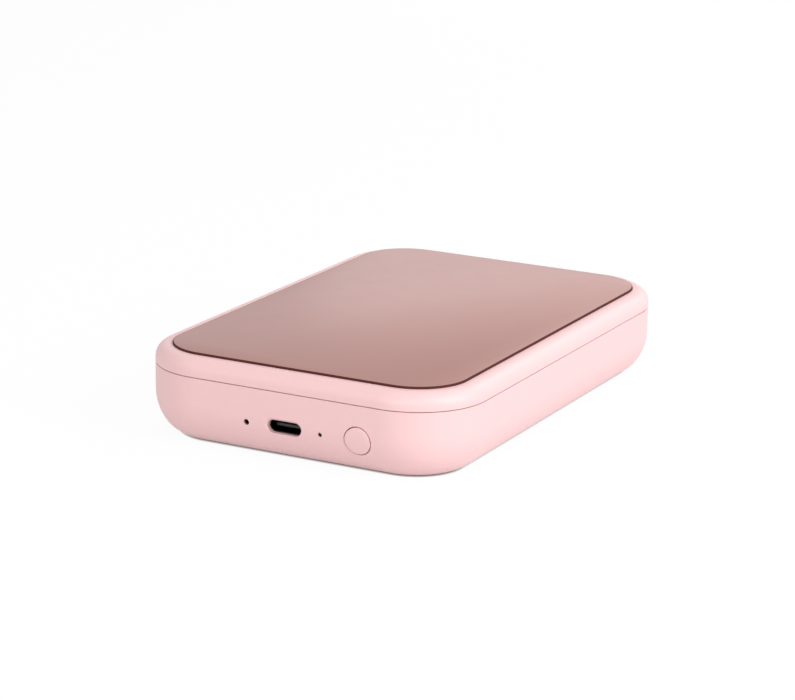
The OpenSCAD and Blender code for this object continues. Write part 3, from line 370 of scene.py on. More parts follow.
# A point this near to a level lies on it
LEVEL = 1e-6

low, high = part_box("top_plate")
panel = box_shape(low, high)
round_edges(panel, [e for e in panel.edges if runs_along(e, Z)], PANEL_CORNER, 32)
round_edges(panel, [e for e in panel.edges if all(v.co.z > high.z - LEVEL for v in e.verts)], PANEL_EDGE, 2)
panel.normal_update()
# The panel's side and its top chamfer get the dark red-brown, and only the flat top is rose gold
for face in panel.faces:
    face.material_index = 0 if face.normal.z > 0.99 else 1
piece("top_panel", panel, [rose_gold, dark_edge], "cover", ["top_plate"])

# Ends of the hinge's barrel: round towards the inside, and trimmed to the curve of the body's rear corners
BODY_CORNER = 17.15 * MM
BARREL_END = 23.6 * MM
CHEEK_REACH = 31.1 * MM
CHEEK_RADIUS = 1.58 * MM
CHEEK_LOOPS = 14
CHEEK_POINTS = 48

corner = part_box("top_cover")[1] - Vector((BODY_CORNER, BODY_CORNER, 0))
hinge = sum(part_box("hinge_pins"), Vector()) / 2


def cheek_loop(side, x):
    """The barrel's circle at x, cut off where the body's corner ends."""
    outer_y = corner.y + math.sqrt(BODY_CORNER ** 2 - max(0, x - corner.x) ** 2)
    loop = []
    for k in range(CHEEK_POINTS):
        turn = math.tau * k / CHEEK_POINTS
        y = min(outer_y, hinge.y + CHEEK_RADIUS * math.cos(turn))
        loop.append((side * x, y, hinge.z + CHEEK_RADIUS * math.sin(turn)))
    return loop


places = [BARREL_END + (CHEEK_REACH - BARREL_END) * k / CHEEK_LOOPS for k in range(CHEEK_LOOPS + 1)]
cheeks = [(loft([cheek_loop(side, x) for x in places]), 0) for side in (-1, 1)]
piece("hinge_cheeks", assemble(cheeks), [pink_abs], "cover")

# Power key: its face follows the curve of the wall's foot and stands a little proud of it. Behind it are a
# flange and a stem
FOOT_RADIUS = 12 * MM
FOOT_TOP = 10 * MM
KEY_RADIUS = 3.15 * MM
KEY_ROUND = 0.12 * MM
KEY_RISE = 0.35 * MM
KEY_DEPTH = 1.6 * MM
KEY_FLANGE = 0.75 * MM
STEM_RADIUS = 1 * MM

low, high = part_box("power_button")
flange_radius = (high.x - low.x) / 2
key_centre = Vector(((low.x + high.x) / 2, low.y, (low.z + high.z) / 2))
key_face = [(-KEY_RISE, radius) for radius in (0, KEY_RADIUS / 3, 2 * KEY_RADIUS / 3, KEY_RADIUS - KEY_ROUND)]
key_edge = [
    (0.3 * KEY_ROUND - KEY_RISE, KEY_RADIUS - 0.3 * KEY_ROUND), (KEY_ROUND - KEY_RISE, KEY_RADIUS)]
key_back = [
    (KEY_DEPTH, KEY_RADIUS), (KEY_DEPTH, flange_radius), (KEY_DEPTH + KEY_FLANGE, flange_radius),
    (KEY_DEPTH + KEY_FLANGE, STEM_RADIUS), (high.y - low.y, STEM_RADIUS), (high.y - low.y, 0)]
key = lathe(key_face + key_edge + key_back, key_centre, Y, X, 72)
for vert in key.verts:
    if vert.co.y < low.y - KEY_RISE + 2 * KEY_ROUND and vert.co.z < FOOT_TOP:
        vert.co.y += FOOT_RADIUS - math.sqrt(FOOT_RADIUS ** 2 - (FOOT_TOP - vert.co.z) ** 2)
piece("power_key", key, [pink_abs], "button", ["power_button"])

# Charging port: a drawn steel tube with full-round ends, open at the front
PORT_WALL = 0.3 * MM
PORT_LIP = 0.1 * MM
# Edges that turn by more than this, in radians, are sharp ones
SHARP = 0.5

low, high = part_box("usb_shell")
tube = box_shape(low, high)
round_edges(tube, [e for e in tube.edges if runs_along(e, Y)], 0.496 * (high.z - low.z), 14)
tube.faces.ensure_lookup_table()
mouth = min(tube.faces, key=lambda f: f.calc_center_median().y)
bmesh.ops.inset_region(tube, faces=[mouth], thickness=PORT_WALL, use_even_offset=True)
sunk = bmesh.ops.extrude_face_region(tube, geom=[mouth])
back_wall = [v for v in sunk["geom"] if isinstance(v, bmesh.types.BMVert)]
bmesh.ops.translate(tube, vec=Y * (high.y - low.y - PORT_WALL), verts=back_wall)
bmesh.ops.delete(tube, geom=[mouth], context="FACES_ONLY")
front_edges = [e for e in tube.edges if all(abs(v.co.y - low.y) < LEVEL for v in e.verts)]
round_edges(tube, [e for e in front_edges if e.calc_face_angle(0) > SHARP], PORT_LIP, 2)
piece("port_shell", tube, [dark_port_metal], "base", ["usb_shell"])

# Tongue of the port: a polymer blade with twelve contacts on each side, on its insulating block
CONTACTS = 12
CONTACT_PITCH = 0.5 * MM
CONTACT_WIDTH = 0.26 * MM
CONTACT_LENGTH = 3.4 * MM
CONTACT_PROUD = 0.02 * MM
CONTACT_START = 0.55 * MM
BLADE_X = 3.35 * MM
BLADE_Z = 0.35 * MM
BLADE_ROUND = 0.45 * MM
BLADE_LIP = 0.12 * MM
BLOCK_LENGTH = 1.4 * MM

low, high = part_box("usb_tongue")
middle_z = (low.z + high.z) / 2
block_front = high.y - BLOCK_LENGTH
blade = box_shape(
    Vector((-BLADE_X, low.y, middle_z - BLADE_Z)), Vector((BLADE_X, high.y, middle_z + BLADE_Z)))
front_corners = [e for e in blade.edges if runs_along(e, Z) and e.verts[0].co.y < block_front]
round_edges(blade, front_corners, BLADE_ROUND, 5)
ahead_edges = [e for e in blade.edges if all(v.co.y < block_front for v in e.verts)]
round_edges(blade, [e for e in ahead_edges if not runs_along(e, Z) and not runs_along(e, Y)], BLADE_LIP, 2)
block = box_shape(Vector((low.x, block_front, low.z)), high)
round_edges(block, [e for e in block.edges if runs_along(e, Y)], 0.49 * (high.z - low.z), 12)
join(blade, block, 0)
for side in (-1, 1):
    for k in range(CONTACTS):
        x = (k - (CONTACTS - 1) / 2) * CONTACT_PITCH
        start = low.y + CONTACT_START
        level = middle_z + side * BLADE_Z
        strip = box_shape(
            Vector((x - CONTACT_WIDTH / 2, start, level - CONTACT_PROUD)),
            Vector((x + CONTACT_WIDTH / 2, start + CONTACT_LENGTH, level + CONTACT_PROUD)))
        join(blade, strip, 1)
piece("port_tongue", blade, [tongue_polymer, gold], "base", ["usb_tongue"])


# Compression springs of the print head and of the pressure plate
WIRE_SIDES = 10
TURN_STEPS = 28
# Share of the turns and share of the climb in the foot turn, the open turns and the top turn
SPRING_PARTS = ((0.15, 0.04), (0.7, 0.92), (0.15, 0.04))


def coil(centre, radius, top_radius, wire, height, turns):
    """A compression spring standing at centre: a round wire screwed up, with a flat turn at each end."""
    shape = bmesh.new()
    section = bmesh.ops.create_circle(shape, cap_ends=False, segments=WIRE_SIDES, radius=wire)["verts"]
    bmesh.ops.rotate(shape, verts=section, cent=Vector(), matrix=Matrix.Rotation(math.pi / 2, 3, "X"))
    bmesh.ops.translate(shape, verts=section, vec=centre + X * radius + Z * wire)
    ends = bmesh.ops.contextual_create(shape, geom=[e for e in shape.edges])["faces"]
    bmesh.ops.delete(shape, geom=ends, context="FACES_ONLY")
    front = shape.verts[:] + shape.edges[:]
    rise = height - 2 * wire
    for share, climb in SPRING_PARTS:
        steps = round(turns * share * TURN_STEPS)
        front = bmesh.ops.spin(
            shape, geom=front, cent=centre, axis=Z, dvec=Z * (rise * climb / steps),
            angle=math.tau * turns * share, steps=steps, use_duplicate=False)["geom_last"]
    for vert in shape.verts:
        share = (vert.co.z - centre.z) / height
        inward = 1 + (top_radius / radius - 1) * share
        vert.co.x = centre.x + (vert.co.x - centre.x) * inward
        vert.co.y = centre.y + (vert.co.y - centre.y) * inward
    bmesh.ops.holes_fill(shape, edges=[e for e in shape.edges if e.is_boundary], sides=0)
    return shape


SPRING_SETS = [
    # CAD node, body, joint that presses it, distance from the middle, radius, radius at the top, wire, turns,
    # share of its height that is left when pressed
    ("head_springs", "base", "head_tilt", 15 * MM, 1.8 * MM, 1.8 * MM, 0.22 * MM, 4, 0.86),
    ("pressure_springs", "cover", "pressure_tilt", 12 * MM, 2.2 * MM, 1.9 * MM, 0.2 * MM, 4, 0.2),
]
for name, body, joint, spring_x, radius, top_radius, wire, turns, left in SPRING_SETS:
    low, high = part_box(name)
    pair = bmesh.new()
    for side in (-1, 1):
        foot = Vector((side * spring_x, (low.y + high.y) / 2, low.z))
        join(pair, coil(foot, radius, top_radius, wire, high.z - low.z, turns), 0)
    made = piece(name.replace("springs", "coils"), pair, [spring_steel], body, [name])
    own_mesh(made)


# Battery: a soft pouch with its side seams folded up, and its protection board under amber tape
POUCH_ROUND = 1.2 * MM
POUCH_FOLD = 0.5 * MM
FOLD_END = 2 * MM
FOLD_FOOT = 0.7 * MM
FOLD_ROUND = 0.15 * MM
POUCH_CAP = 1.6 * MM
POUCH_CAP_IN = 6 * MM
CAP_DROP = 1.1 * MM
CAP_ROUND = 0.4 * MM

low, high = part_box("battery_pack")
parts = [(soft_block(
    (low.x + POUCH_FOLD, low.y + POUCH_CAP, low.z), (high.x - POUCH_FOLD, high.y, high.z),
    POUCH_ROUND, 5), 0)]
for x in (low.x, high.x - POUCH_FOLD):
    parts.append((soft_block(
        (x, low.y + POUCH_CAP + FOLD_END, low.z + FOLD_FOOT),
        (x + POUCH_FOLD, high.y - FOLD_END, high.z - CAP_DROP), FOLD_ROUND), 0))
parts.append((soft_block(
    (low.x + POUCH_CAP_IN, low.y, low.z + CAP_DROP),
    (high.x - POUCH_CAP_IN, low.y + 2 * POUCH_CAP, high.z - CAP_DROP), CAP_ROUND, 3), 1))
piece("pouch_cell", assemble(parts), [battery_foil, polyimide], "base", ["battery_pack"])


def flat_round(x, centre, radius, half_height, steps=64):
    """A loop of points across X: a circle with a flat above and below."""
    loop = []
    for k in range(steps):
        turn = math.tau * k / steps
        rise = max(-half_height, min(half_height, radius * math.sin(turn)))
        loop.append((x, centre.y + radius * math.cos(turn), centre.z + rise))
    return loop


# Motor: a drawn can with two flats, its end bell with the bearing's boss, and two terminals
BELL = 2.2 * MM
BELL_IN = 0.4 * MM
BELL_CHAMFER = 0.3 * MM
BOSS = 0.8 * MM
BOSS_RADIUS = 1.9 * MM
BOSS_CHAMFER = 0.2 * MM
CAN_ROUND = 0.5 * MM
BORE_RADIUS = 0.85 * MM
BORE_DEPTH = 4 * MM
BOND = 0.1 * MM
TERMINAL_RISES = (1.1 * MM, 2.2 * MM)
TERMINAL_HALF_Y, TERMINAL_HALF_Z = 0.7 * MM, 0.4 * MM
TERMINAL_PROUD = 0.05 * MM
TERMINAL_BITE = 0.2 * MM
TERMINAL_ROUND = 0.1 * MM

low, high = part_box("motor_case")
motor = (low + high) / 2
wide, tall = (high.y - low.y) / 2, (high.z - low.z) / 2
can = loft([
    flat_round(low.x + BELL, motor, wide, tall), flat_round(high.x - CAN_ROUND, motor, wide, tall),
    flat_round(high.x - 0.3 * CAN_ROUND, motor, wide - 0.3 * CAN_ROUND, tall - 0.3 * CAN_ROUND),
    flat_round(high.x, motor, wide - CAN_ROUND, tall - CAN_ROUND),
    flat_round(high.x, motor, BORE_RADIUS, BORE_RADIUS),
    flat_round(high.x - BORE_DEPTH, motor, BORE_RADIUS, BORE_RADIUS)])
bell_face = BELL_IN + BELL_CHAMFER
bell = loft([
    flat_round(low.x + BOSS, motor, wide - bell_face, tall - bell_face),
    flat_round(low.x + BOSS + BELL_CHAMFER, motor, wide - BELL_IN, tall - BELL_IN),
    flat_round(low.x + BELL, motor, wide - BELL_IN, tall - BELL_IN)])
boss_outline = [
    (0, 0), (0, BOSS_RADIUS - BOSS_CHAMFER), (BOSS_CHAMFER, BOSS_RADIUS), (BOSS + BOND, BOSS_RADIUS),
    (BOSS + BOND, 0)]
boss = lathe(boss_outline, Vector((low.x, motor.y, motor.z)), X, Y, 40)
parts = [(can, 0), (bell, 1), (boss, 0)]
for rise in TERMINAL_RISES:
    parts.append((soft_block(
        (low.x - TERMINAL_PROUD, motor.y - TERMINAL_HALF_Y, motor.z + rise - TERMINAL_HALF_Z),
        (low.x + BOSS + TERMINAL_BITE, motor.y + TERMINAL_HALF_Y, motor.z + rise + TERMINAL_HALF_Z),
        TERMINAL_ROUND), 2))
piece("feed_motor", assemble(parts), [steel, black_plastic, brass], "base", ["motor_case"])


# Board sockets for wires: a housing with its plug, a steel tab at each end and a row of pins
SOCKET_ROUND = 0.12 * MM
TAB = 0.25 * MM
TAB_SHARE = 0.45
TAB_ROUND = 0.05 * MM
PLUG_LENGTH = 1.1 * MM
PLUG_BITE = 0.2 * MM
PLUG_FOOT = 0.2 * MM
PLUG_DROP = 0.15 * MM
PLUG_ROUND = 0.1 * MM
PIN_PITCH = 1 * MM
PIN_HALF = 0.15 * MM
PIN_OUT = 0.35 * MM
PIN_BITE = 0.1 * MM
PIN_HEIGHT = 0.2 * MM
PIN_ROUND = 0.03 * MM


def wire_socket(width, depth, height, ways):
    """A board socket with its plug in it, standing on z = 0 with the wires' side towards +Y."""
    plug_y = depth / 2 - PLUG_LENGTH
    parts = [
        (soft_block((-width / 2 + TAB, -depth / 2, 0), (width / 2 - TAB, plug_y, height), SOCKET_ROUND), 0),
        (soft_block(
            (-width / 2 + 3 * TAB, plug_y - PLUG_BITE, PLUG_FOOT),
            (width / 2 - 3 * TAB, depth / 2, height - PLUG_DROP), PLUG_ROUND), 0)]
    for side in (-1, 1):
        inner, outer = side * (width / 2 - TAB), side * width / 2
        parts.append((soft_block(
            (min(inner, outer), -depth / 4, 0), (max(inner, outer), depth / 4, TAB_SHARE * height),
            TAB_ROUND), 1))
    for k in range(ways):
        x = (k - (ways - 1) / 2) * PIN_PITCH
        parts.append((soft_block(
            (x - PIN_HALF, -depth / 2 - PIN_OUT, 0), (x + PIN_HALF, -depth / 2 + PIN_BITE, PIN_HEIGHT),
            PIN_ROUND), 1))
    return assemble(parts)


def turned(shape, angle, place):
    """The shape turned about the upright axis and moved to place."""
    bmesh.ops.rotate(shape, verts=shape.verts, cent=Vector(), matrix=Matrix.Rotation(angle, 3, "Z"))
    bmesh.ops.translate(shape, verts=shape.verts, vec=place)
    return shape


# Sockets of the battery and the motor, each with its crimped plug
for name, angle, ways in (("battery_socket", 0, 3), ("motor_socket", math.pi / 2, 2)):
    low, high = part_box(name)
    size = high - low
    width, depth = (size.x, size.y) if angle == 0 else (size.y, size.x)
    foot = Vector(((low.x + high.x) / 2, (low.y + high.y) / 2, low.z))
    shape = turned(wire_socket(width, depth, size.z, ways), angle, foot)
    piece(name.replace("_socket", "_plug"), shape, [white_pom, steel], "base", [name])

# Socket of the flat cable: a black body with an ivory latch that swings over the cable
FLEX_WAYS = 8
FLEX_PITCH = 0.35 * MM
FLEX_PIN_HALF = 0.08 * MM
FLEX_PIN_OUT = 0.35 * MM
FLEX_PIN_BITE = 0.1 * MM
FLEX_PIN_HEIGHT = 0.15 * MM
FLEX_ROUND = 0.1 * MM
FLEX_BODY_IN = 0.9 * MM
FLEX_BODY_DROP = 0.3 * MM
SILL_LENGTH, SILL_IN, SILL_HEIGHT = 1 * MM, 0.15 * MM, 0.8 * MM
LATCH_LENGTH, LATCH_IN, LATCH_FOOT = 1.3 * MM, 0.05 * MM, 1.2 * MM
LATCH_ROUND = 0.2 * MM

low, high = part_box("flex_socket")
parts = [
    (soft_block(
        (low.x + FLEX_BODY_IN, low.y, low.z), (high.x, high.y, high.z - FLEX_BODY_DROP), FLEX_ROUND), 0),
    (soft_block(
        (low.x, low.y + SILL_IN, low.z), (low.x + SILL_LENGTH, high.y - SILL_IN, low.z + SILL_HEIGHT),
        FLEX_ROUND), 0),
    (soft_block(
        (low.x, low.y + LATCH_IN, low.z + LATCH_FOOT), (low.x + LATCH_LENGTH, high.y - LATCH_IN, high.z),
        LATCH_ROUND), 1)]
for k in range(FLEX_WAYS):
    y = (low.y + high.y) / 2 + (k - (FLEX_WAYS - 1) / 2) * FLEX_PITCH
    parts.append((box_shape(
        Vector((high.x - FLEX_PIN_BITE, y - FLEX_PIN_HALF, low.z)),
        Vector((high.x + FLEX_PIN_OUT, y + FLEX_PIN_HALF, low.z + FLEX_PIN_HEIGHT))), 2))
piece(
    "flex_latch", assemble(parts), [black_plastic, white_pom, gold], "base", ["flex_socket"])

# Shield over the processor: a tinned frame on the board and a pressed lid with spring fingers
LID = 0.15 * MM
LID_SKIRT = 0.5 * MM
LID_ROUND = 0.25 * MM
FRAME_HEIGHT = 0.7 * MM
FRAME_ROUND = 0.1 * MM
FINGERS_X, FINGERS_Y = 7, 5
FINGER_HALF = 0.7 * MM
FINGER_FOOT, FINGER_ROOT = 0.1 * MM, 0.6 * MM
FINGER_ROUND = 0.03 * MM

low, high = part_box("processor_shield")
parts = [
    (soft_block(
        (low.x + LID, low.y + LID, low.z), (high.x - LID, high.y - LID, low.z + FRAME_HEIGHT),
        FRAME_ROUND), 0),
    (soft_block((low.x, low.y, low.z + LID_SKIRT), high, LID_ROUND, 3), 0)]
foot_z, root_z = low.z + FINGER_FOOT, low.z + FINGER_ROOT
for k in range(FINGERS_X):
    x = low.x + (high.x - low.x) * (k + 0.5) / FINGERS_X
    for y in (low.y, high.y - LID):
        parts.append((soft_block(
            (x - FINGER_HALF, y, foot_z), (x + FINGER_HALF, y + LID, root_z), FINGER_ROUND), 0))
for k in range(FINGERS_Y):
    y = low.y + (high.y - low.y) * (k + 0.5) / FINGERS_Y
    for x in (low.x, high.x - LID):
        parts.append((soft_block(
            (x, y - FINGER_HALF, foot_z), (x + LID, y + FINGER_HALF, root_z), FINGER_ROUND), 0))
piece("shield_can", assemble(parts), [steel], "base", ["processor_shield"])

# Radio module: its own small board with pads along the edges, a steel can and a folded antenna track
RADIO_BOARD = 0.5 * MM
RADIO_BOARD_ROUND = 0.05 * MM
RADIO_CAN_LEFT, RADIO_CAN_RIGHT = 0.5 * MM, 3.2 * MM
RADIO_CAN_ROUND = 0.2 * MM
PADS = 9
PAD_START = 0.9 * MM
PAD_PITCH = 0.8 * MM
PAD = 0.4 * MM
PAD_RISE = 0.1 * MM
PAD_PROUD = 0.02 * MM
BENDS = 7
BEND_START = 0.8 * MM
BEND_PITCH = 1.1 * MM
BEND_REACH = 2.2 * MM
ANTENNA_IN = 2.7 * MM
TRACK = 0.25 * MM
TRACK_PROUD = 0.03 * MM

low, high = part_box("radio_module")
board_top = low.z + RADIO_BOARD
parts = [
    (soft_block(low, (high.x, high.y, board_top), RADIO_BOARD_ROUND), 0),
    (soft_block(
        (low.x + RADIO_CAN_LEFT, low.y + PAD, board_top), (high.x - RADIO_CAN_RIGHT, high.y - PAD, high.z),
        RADIO_CAN_ROUND, 3), 1)]
for k in range(PADS):
    x = low.x + PAD_START + k * PAD_PITCH
    for y in (low.y - PAD_PROUD, high.y + PAD_PROUD - PAD):
        parts.append((box_shape(
            Vector((x - PAD / 2, y, low.z + PAD_RISE)),
            Vector((x + PAD / 2, y + PAD, board_top + PAD_PROUD))), 2))
antenna_x = high.x - ANTENNA_IN
track_top = board_top + TRACK_PROUD
for k in range(BENDS):
    y = low.y + BEND_START + k * BEND_PITCH
    parts.append((box_shape(
        Vector((antenna_x, y, board_top)), Vector((antenna_x + BEND_REACH, y + TRACK, track_top))), 2))
    if k < BENDS - 1:
        x = antenna_x + (k % 2) * (BEND_REACH - TRACK)
        parts.append((box_shape(
            Vector((x, y, board_top)), Vector((x + TRACK, y + BEND_PITCH + TRACK, track_top))), 2))
piece("radio_can", assemble(parts), [black_plastic, steel, gold], "base", ["radio_module"])

# Small parts of the main board: capacitors and resistors with tinned ends, chips, a coil and test pads
CHIP_FOOT = 0.5 * MM
CHIP_FOOT_HALF = 0.11 * MM
CHIP_FOOT_HEIGHT = 0.15 * MM
CHIP_LIFT = 0.05 * MM
CHIP_ROUND = 0.1 * MM
# Shares of a capacitor's length and thickness: where its ends are, how long and how thick they are
END_AT, END_HALF, END_THICK = 0.4, 0.12, 1.04
# Number of each material in the list that board_parts gets
BLACK, TIN, FERRITE, BROWN, GILT = range(5)

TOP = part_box("main_board")[1].z
parts = []


def chip(x, y, width, length, height, pins):
    """Adds a black chip with its feet, as many as pins says, on each of its long sides."""
    x0, x1 = x - width / 2, x + width / 2
    parts.append((soft_block(
        (x0, y - length / 2, TOP + CHIP_LIFT), (x1, y + length / 2, TOP + height), CHIP_ROUND), BLACK))
    for k in range(pins):
        foot = y + (k - (pins - 1) / 2) * length / pins
        parts.append((box_shape(
            Vector((x0 - CHIP_FOOT, foot - CHIP_FOOT_HALF, TOP)),
            Vector((x1 + CHIP_FOOT, foot + CHIP_FOOT_HALF, TOP + CHIP_FOOT_HEIGHT))), TIN))


def passive(x, y, length, width, number):
    """Adds a capacitor or resistor that lies along X, with its two tinned ends."""
    half = Vector((length / 2, width / 2, 0))
    spot = Vector((x, y, TOP))
    parts.append((box_shape(spot - half, spot + half + Z * width), number))
    for side in (-1, 1):
        end = spot + X * (side * END_AT * length)
        cap = Vector((END_HALF * length, END_THICK * width / 2, 0))
        parts.append((box_shape(end - cap, end + cap + Z * (END_THICK * width)), TIN))


chip(-19 * MM, -50 * MM, 4 * MM, 5 * MM, 1.2 * MM, 8)
chip(13.5 * MM, -49.5 * MM, 3 * MM, 3 * MM, 0.8 * MM, 5)
chip(-1 * MM, -49.4 * MM, 3 * MM, 2.4 * MM, 0.8 * MM, 4)
chip(-19.5 * MM, -43.5 * MM, 3 * MM, 3 * MM, 0.8 * MM, 5)
parts.append((soft_block(
    (20.5 * MM, -50.5 * MM, TOP), (24.5 * MM, -46.5 * MM, TOP + 1.5 * MM), 0.5 * MM, 3), FERRITE))
parts.append((disc((22.5 * MM, -48.5 * MM, TOP + 1.4 * MM), 1.3 * MM, 0.15 * MM, 0.05 * MM), TIN))
for k in range(6):
    passive((-11.3 + 0.2 * (k % 2)) * MM, (-50.6 + 1.3 * k) * MM, 1 * MM, 0.5 * MM, BROWN)
    passive((-24.5 + 1.9 * (k % 2)) * MM, (-54 + 1.4 * k) * MM, 1 * MM, 0.5 * MM, BROWN if k % 3 else BLACK)
    passive((-6.2 + 2.3 * k) * MM, -35.9 * MM, 0.9 * MM, 0.45 * MM, BROWN)
    passive((9.7 + 1.9 * k) * MM, -46 * MM, 1 * MM, 0.5 * MM, BROWN if k % 2 else BLACK)
for k in range(5):
    parts.append((disc(((24.2 - 1.6 * k) * MM, -37 * MM, TOP), 0.45 * MM, 0.03 * MM, 0.01 * MM, 16), GILT))
piece(
    "board_parts", assemble(parts), [black_plastic, steel, rubber, capacitor_body, gold], "base")

# Status light: a white package with a clear lens
PACKAGE_HEIGHT = 0.5 * MM
PACKAGE_ROUND = 0.08 * MM
LENS_FOOT = 0.45 * MM
LENS_RADIUS = 0.6 * MM
LENS_HEIGHT = 0.25 * MM
LENS_CHAMFER = 0.1 * MM

low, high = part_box("status_led")
lens_foot = ((low.x + high.x) / 2, (low.y + high.y) / 2, low.z + LENS_FOOT)
lens = disc(lens_foot, LENS_RADIUS, LENS_HEIGHT, LENS_CHAMFER, 24)
package = soft_block(low, (high.x, high.y, low.z + PACKAGE_HEIGHT), PACKAGE_ROUND)
piece(
    "status_lamp", assemble([(package, 0), (lens, 1)]), [white_pom, clear_acrylic], "base",
    ["status_led"])

# Steel straps over the two switches, soldered down at both sides
STRAP = 0.12 * MM
STRAP_FRONT, STRAP_BACK = 1.1 * MM, 0.5 * MM
STRAP_BOND = 0.02 * MM
STRAP_ROUND = 0.05 * MM
LEG_ROUND = 0.04 * MM

for name in ("power_switch", "reset_switch"):
    low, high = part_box(name)
    front, back = low.y + STRAP_FRONT, high.y - STRAP_BACK
    parts = [(soft_block(
        (low.x - STRAP, front, high.z - STRAP_BOND), (high.x + STRAP, back, high.z + STRAP),
        STRAP_ROUND), 0)]
    for x in (low.x - STRAP, high.x):
        parts.append((soft_block((x, front, low.z), (x + STRAP, back, high.z + STRAP), LEG_ROUND), 0))
    piece(name.replace("switch", "strap"), assemble(parts), [stainless], "base")

# Print head: an alumina bar with its glazed heater line and the sealed row of driver chips below it
HEAD_END = 1.5 * MM
BAR_ROUND = 0.12 * MM
HEATER_HALF = 0.45 * MM
HEATER_PROUD, HEATER_TOP = 0.05 * MM, 0.1 * MM
HEATER_ROUND = 0.04 * MM
DRIVERS_FROM = 3.2 * MM
DRIVERS_BACK = 0.3 * MM
DRIVERS_PROUD, DRIVERS_TOP = 0.1 * MM, 0.2 * MM
DRIVERS_ROUND = 0.12 * MM

low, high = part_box("print_head")
heater_y = (sum(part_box("platen_rubber"), Vector()) / 2).y
left, right = low.x + HEAD_END, high.x - HEAD_END
bar = soft_block((low.x, low.y, low.z + HEATER_PROUD), high, BAR_ROUND)
heater = soft_block(
    (left, heater_y - HEATER_HALF, low.z), (right, heater_y + HEATER_HALF, low.z + HEATER_TOP),
    HEATER_ROUND)
drivers = soft_block(
    (left, heater_y + DRIVERS_FROM, low.z - DRIVERS_PROUD),
    (right, high.y - DRIVERS_BACK, low.z + DRIVERS_TOP), DRIVERS_ROUND, 3)
piece(
    "head_bar", assemble([(bar, 0), (heater, 1), (drivers, 2)]), [ceramic, dark_edge, black_plastic], "head",
    ["print_head"])

# Core of the pick roller: moulded with grooves between its tyres, and a little slimmer outside them
HUB_ROOM = 0.1 * MM
TYRE_WIDTH = 8 * MM
GROOVES = 6
GROOVE_STEP = 2.5 * MM
GROOVE_HALF = 0.75 * MM
GROOVE_DEPTH = 0.8 * MM

low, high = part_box("pick_core")
shaft_low, shaft_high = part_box("pick_shaft")
bore = (shaft_high.z - shaft_low.z) / 2
full_radius = (high.z - low.z) / 2
hub_radius = full_radius - HUB_ROOM
tyre_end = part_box("pick_tyres")[1].x
tyre_start = tyre_end - TYRE_WIDTH
end_half = [
    (tyre_start, hub_radius), (tyre_start, full_radius), (tyre_end, full_radius), (tyre_end, hub_radius),
    (high.x - HUB_ROOM, hub_radius), (high.x, hub_radius - HUB_ROOM), (high.x, bore)]
outline = [(-x, radius) for x, radius in reversed(end_half)]
for k in range(GROOVES):
    groove_x = (k - (GROOVES - 1) / 2) * GROOVE_STEP
    outline += [
        (groove_x - GROOVE_HALF, hub_radius), (groove_x - GROOVE_HALF, hub_radius - GROOVE_DEPTH),
        (groove_x + GROOVE_HALF, hub_radius - GROOVE_DEPTH), (groove_x + GROOVE_HALF, hub_radius)]
outline += end_half + [(-high.x, bore)]
hub = lathe(outline, Vector((0, (low.y + high.y) / 2, (low.z + high.z) / 2)), X, Z, 64)
piece("pick_hub", hub, [white_pom], "pick", ["pick_core"])

# Felt pads of the pressure plate, with soft edges
FELT_IN = 7 * MM
FELT_ROUND = 0.25 * MM

low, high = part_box("pressure_felts")
parts = [
    (soft_block(low, (-FELT_IN, high.y, high.z), FELT_ROUND, 3), 0),
    (soft_block((FELT_IN, low.y, low.z), high, FELT_ROUND, 3), 0)]
piece("felt_pads", assemble(parts), [felt], "pressure", ["pressure_felts"])

# Paper sensor: a black housing with the two dark lenses that look up at the sheet
EYE_X = 1.5 * MM
EYE_RADIUS = 0.8 * MM
EYE_HEIGHT = 0.2 * MM
EYE_PROUD = 0.05 * MM
EYE_CHAMFER = 0.08 * MM
SENSOR_ROUND = 0.2 * MM

low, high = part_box("paper_sensor")
parts = [(soft_block(low, (high.x, high.y, high.z - EYE_PROUD), SENSOR_ROUND), 0)]
for side in (-1, 1):
    eye = ((low.x + high.x) / 2 + side * EYE_X, (low.y + high.y) / 2, high.z - EYE_HEIGHT)
    parts.append((disc(eye, EYE_RADIUS, EYE_HEIGHT, EYE_CHAMFER, 28), 1))
piece(
    "sensor_eyes", assemble(parts), [black_plastic, smoked_acrylic], "base",
    ["paper_sensor"])

# Magnets: nickel-plated discs with ground edges
MAGNET_CHAMFER = 0.15 * MM
for name, body in (("base_magnets", "base"), ("cover_magnets", "cover")):
    low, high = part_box(name)
    radius = (high.y - low.y) / 2
    parts = [(disc((x, low.y + radius, low.z), radius, high.z - low.z, MAGNET_CHAMFER), 0)
             for x in (low.x + radius, high.x - radius)]
    piece(name.replace("magnets", "discs"), assemble(parts), [stainless], body, [name])

# Bridge over the print head: a steel strip with rounded corners, two embossed ribs and the springs' seats
BRIDGE_CORNER = 1 * MM
BRIDGE_ROUND = 0.12 * MM
SEAT_X = 15 * MM
SEAT_RADIUS = 1.3 * MM
SEAT_PROUD, SEAT_HEIGHT = 0.25 * MM, 0.3 * MM
SEAT_CHAMFER = 0.1 * MM
RIB_X = 6.5 * MM
RIB_HALF = Vector((5, 0.6, 0)) * MM
RIB_BITE = 0.2 * MM
RIB_PROUD = 0.15 * MM

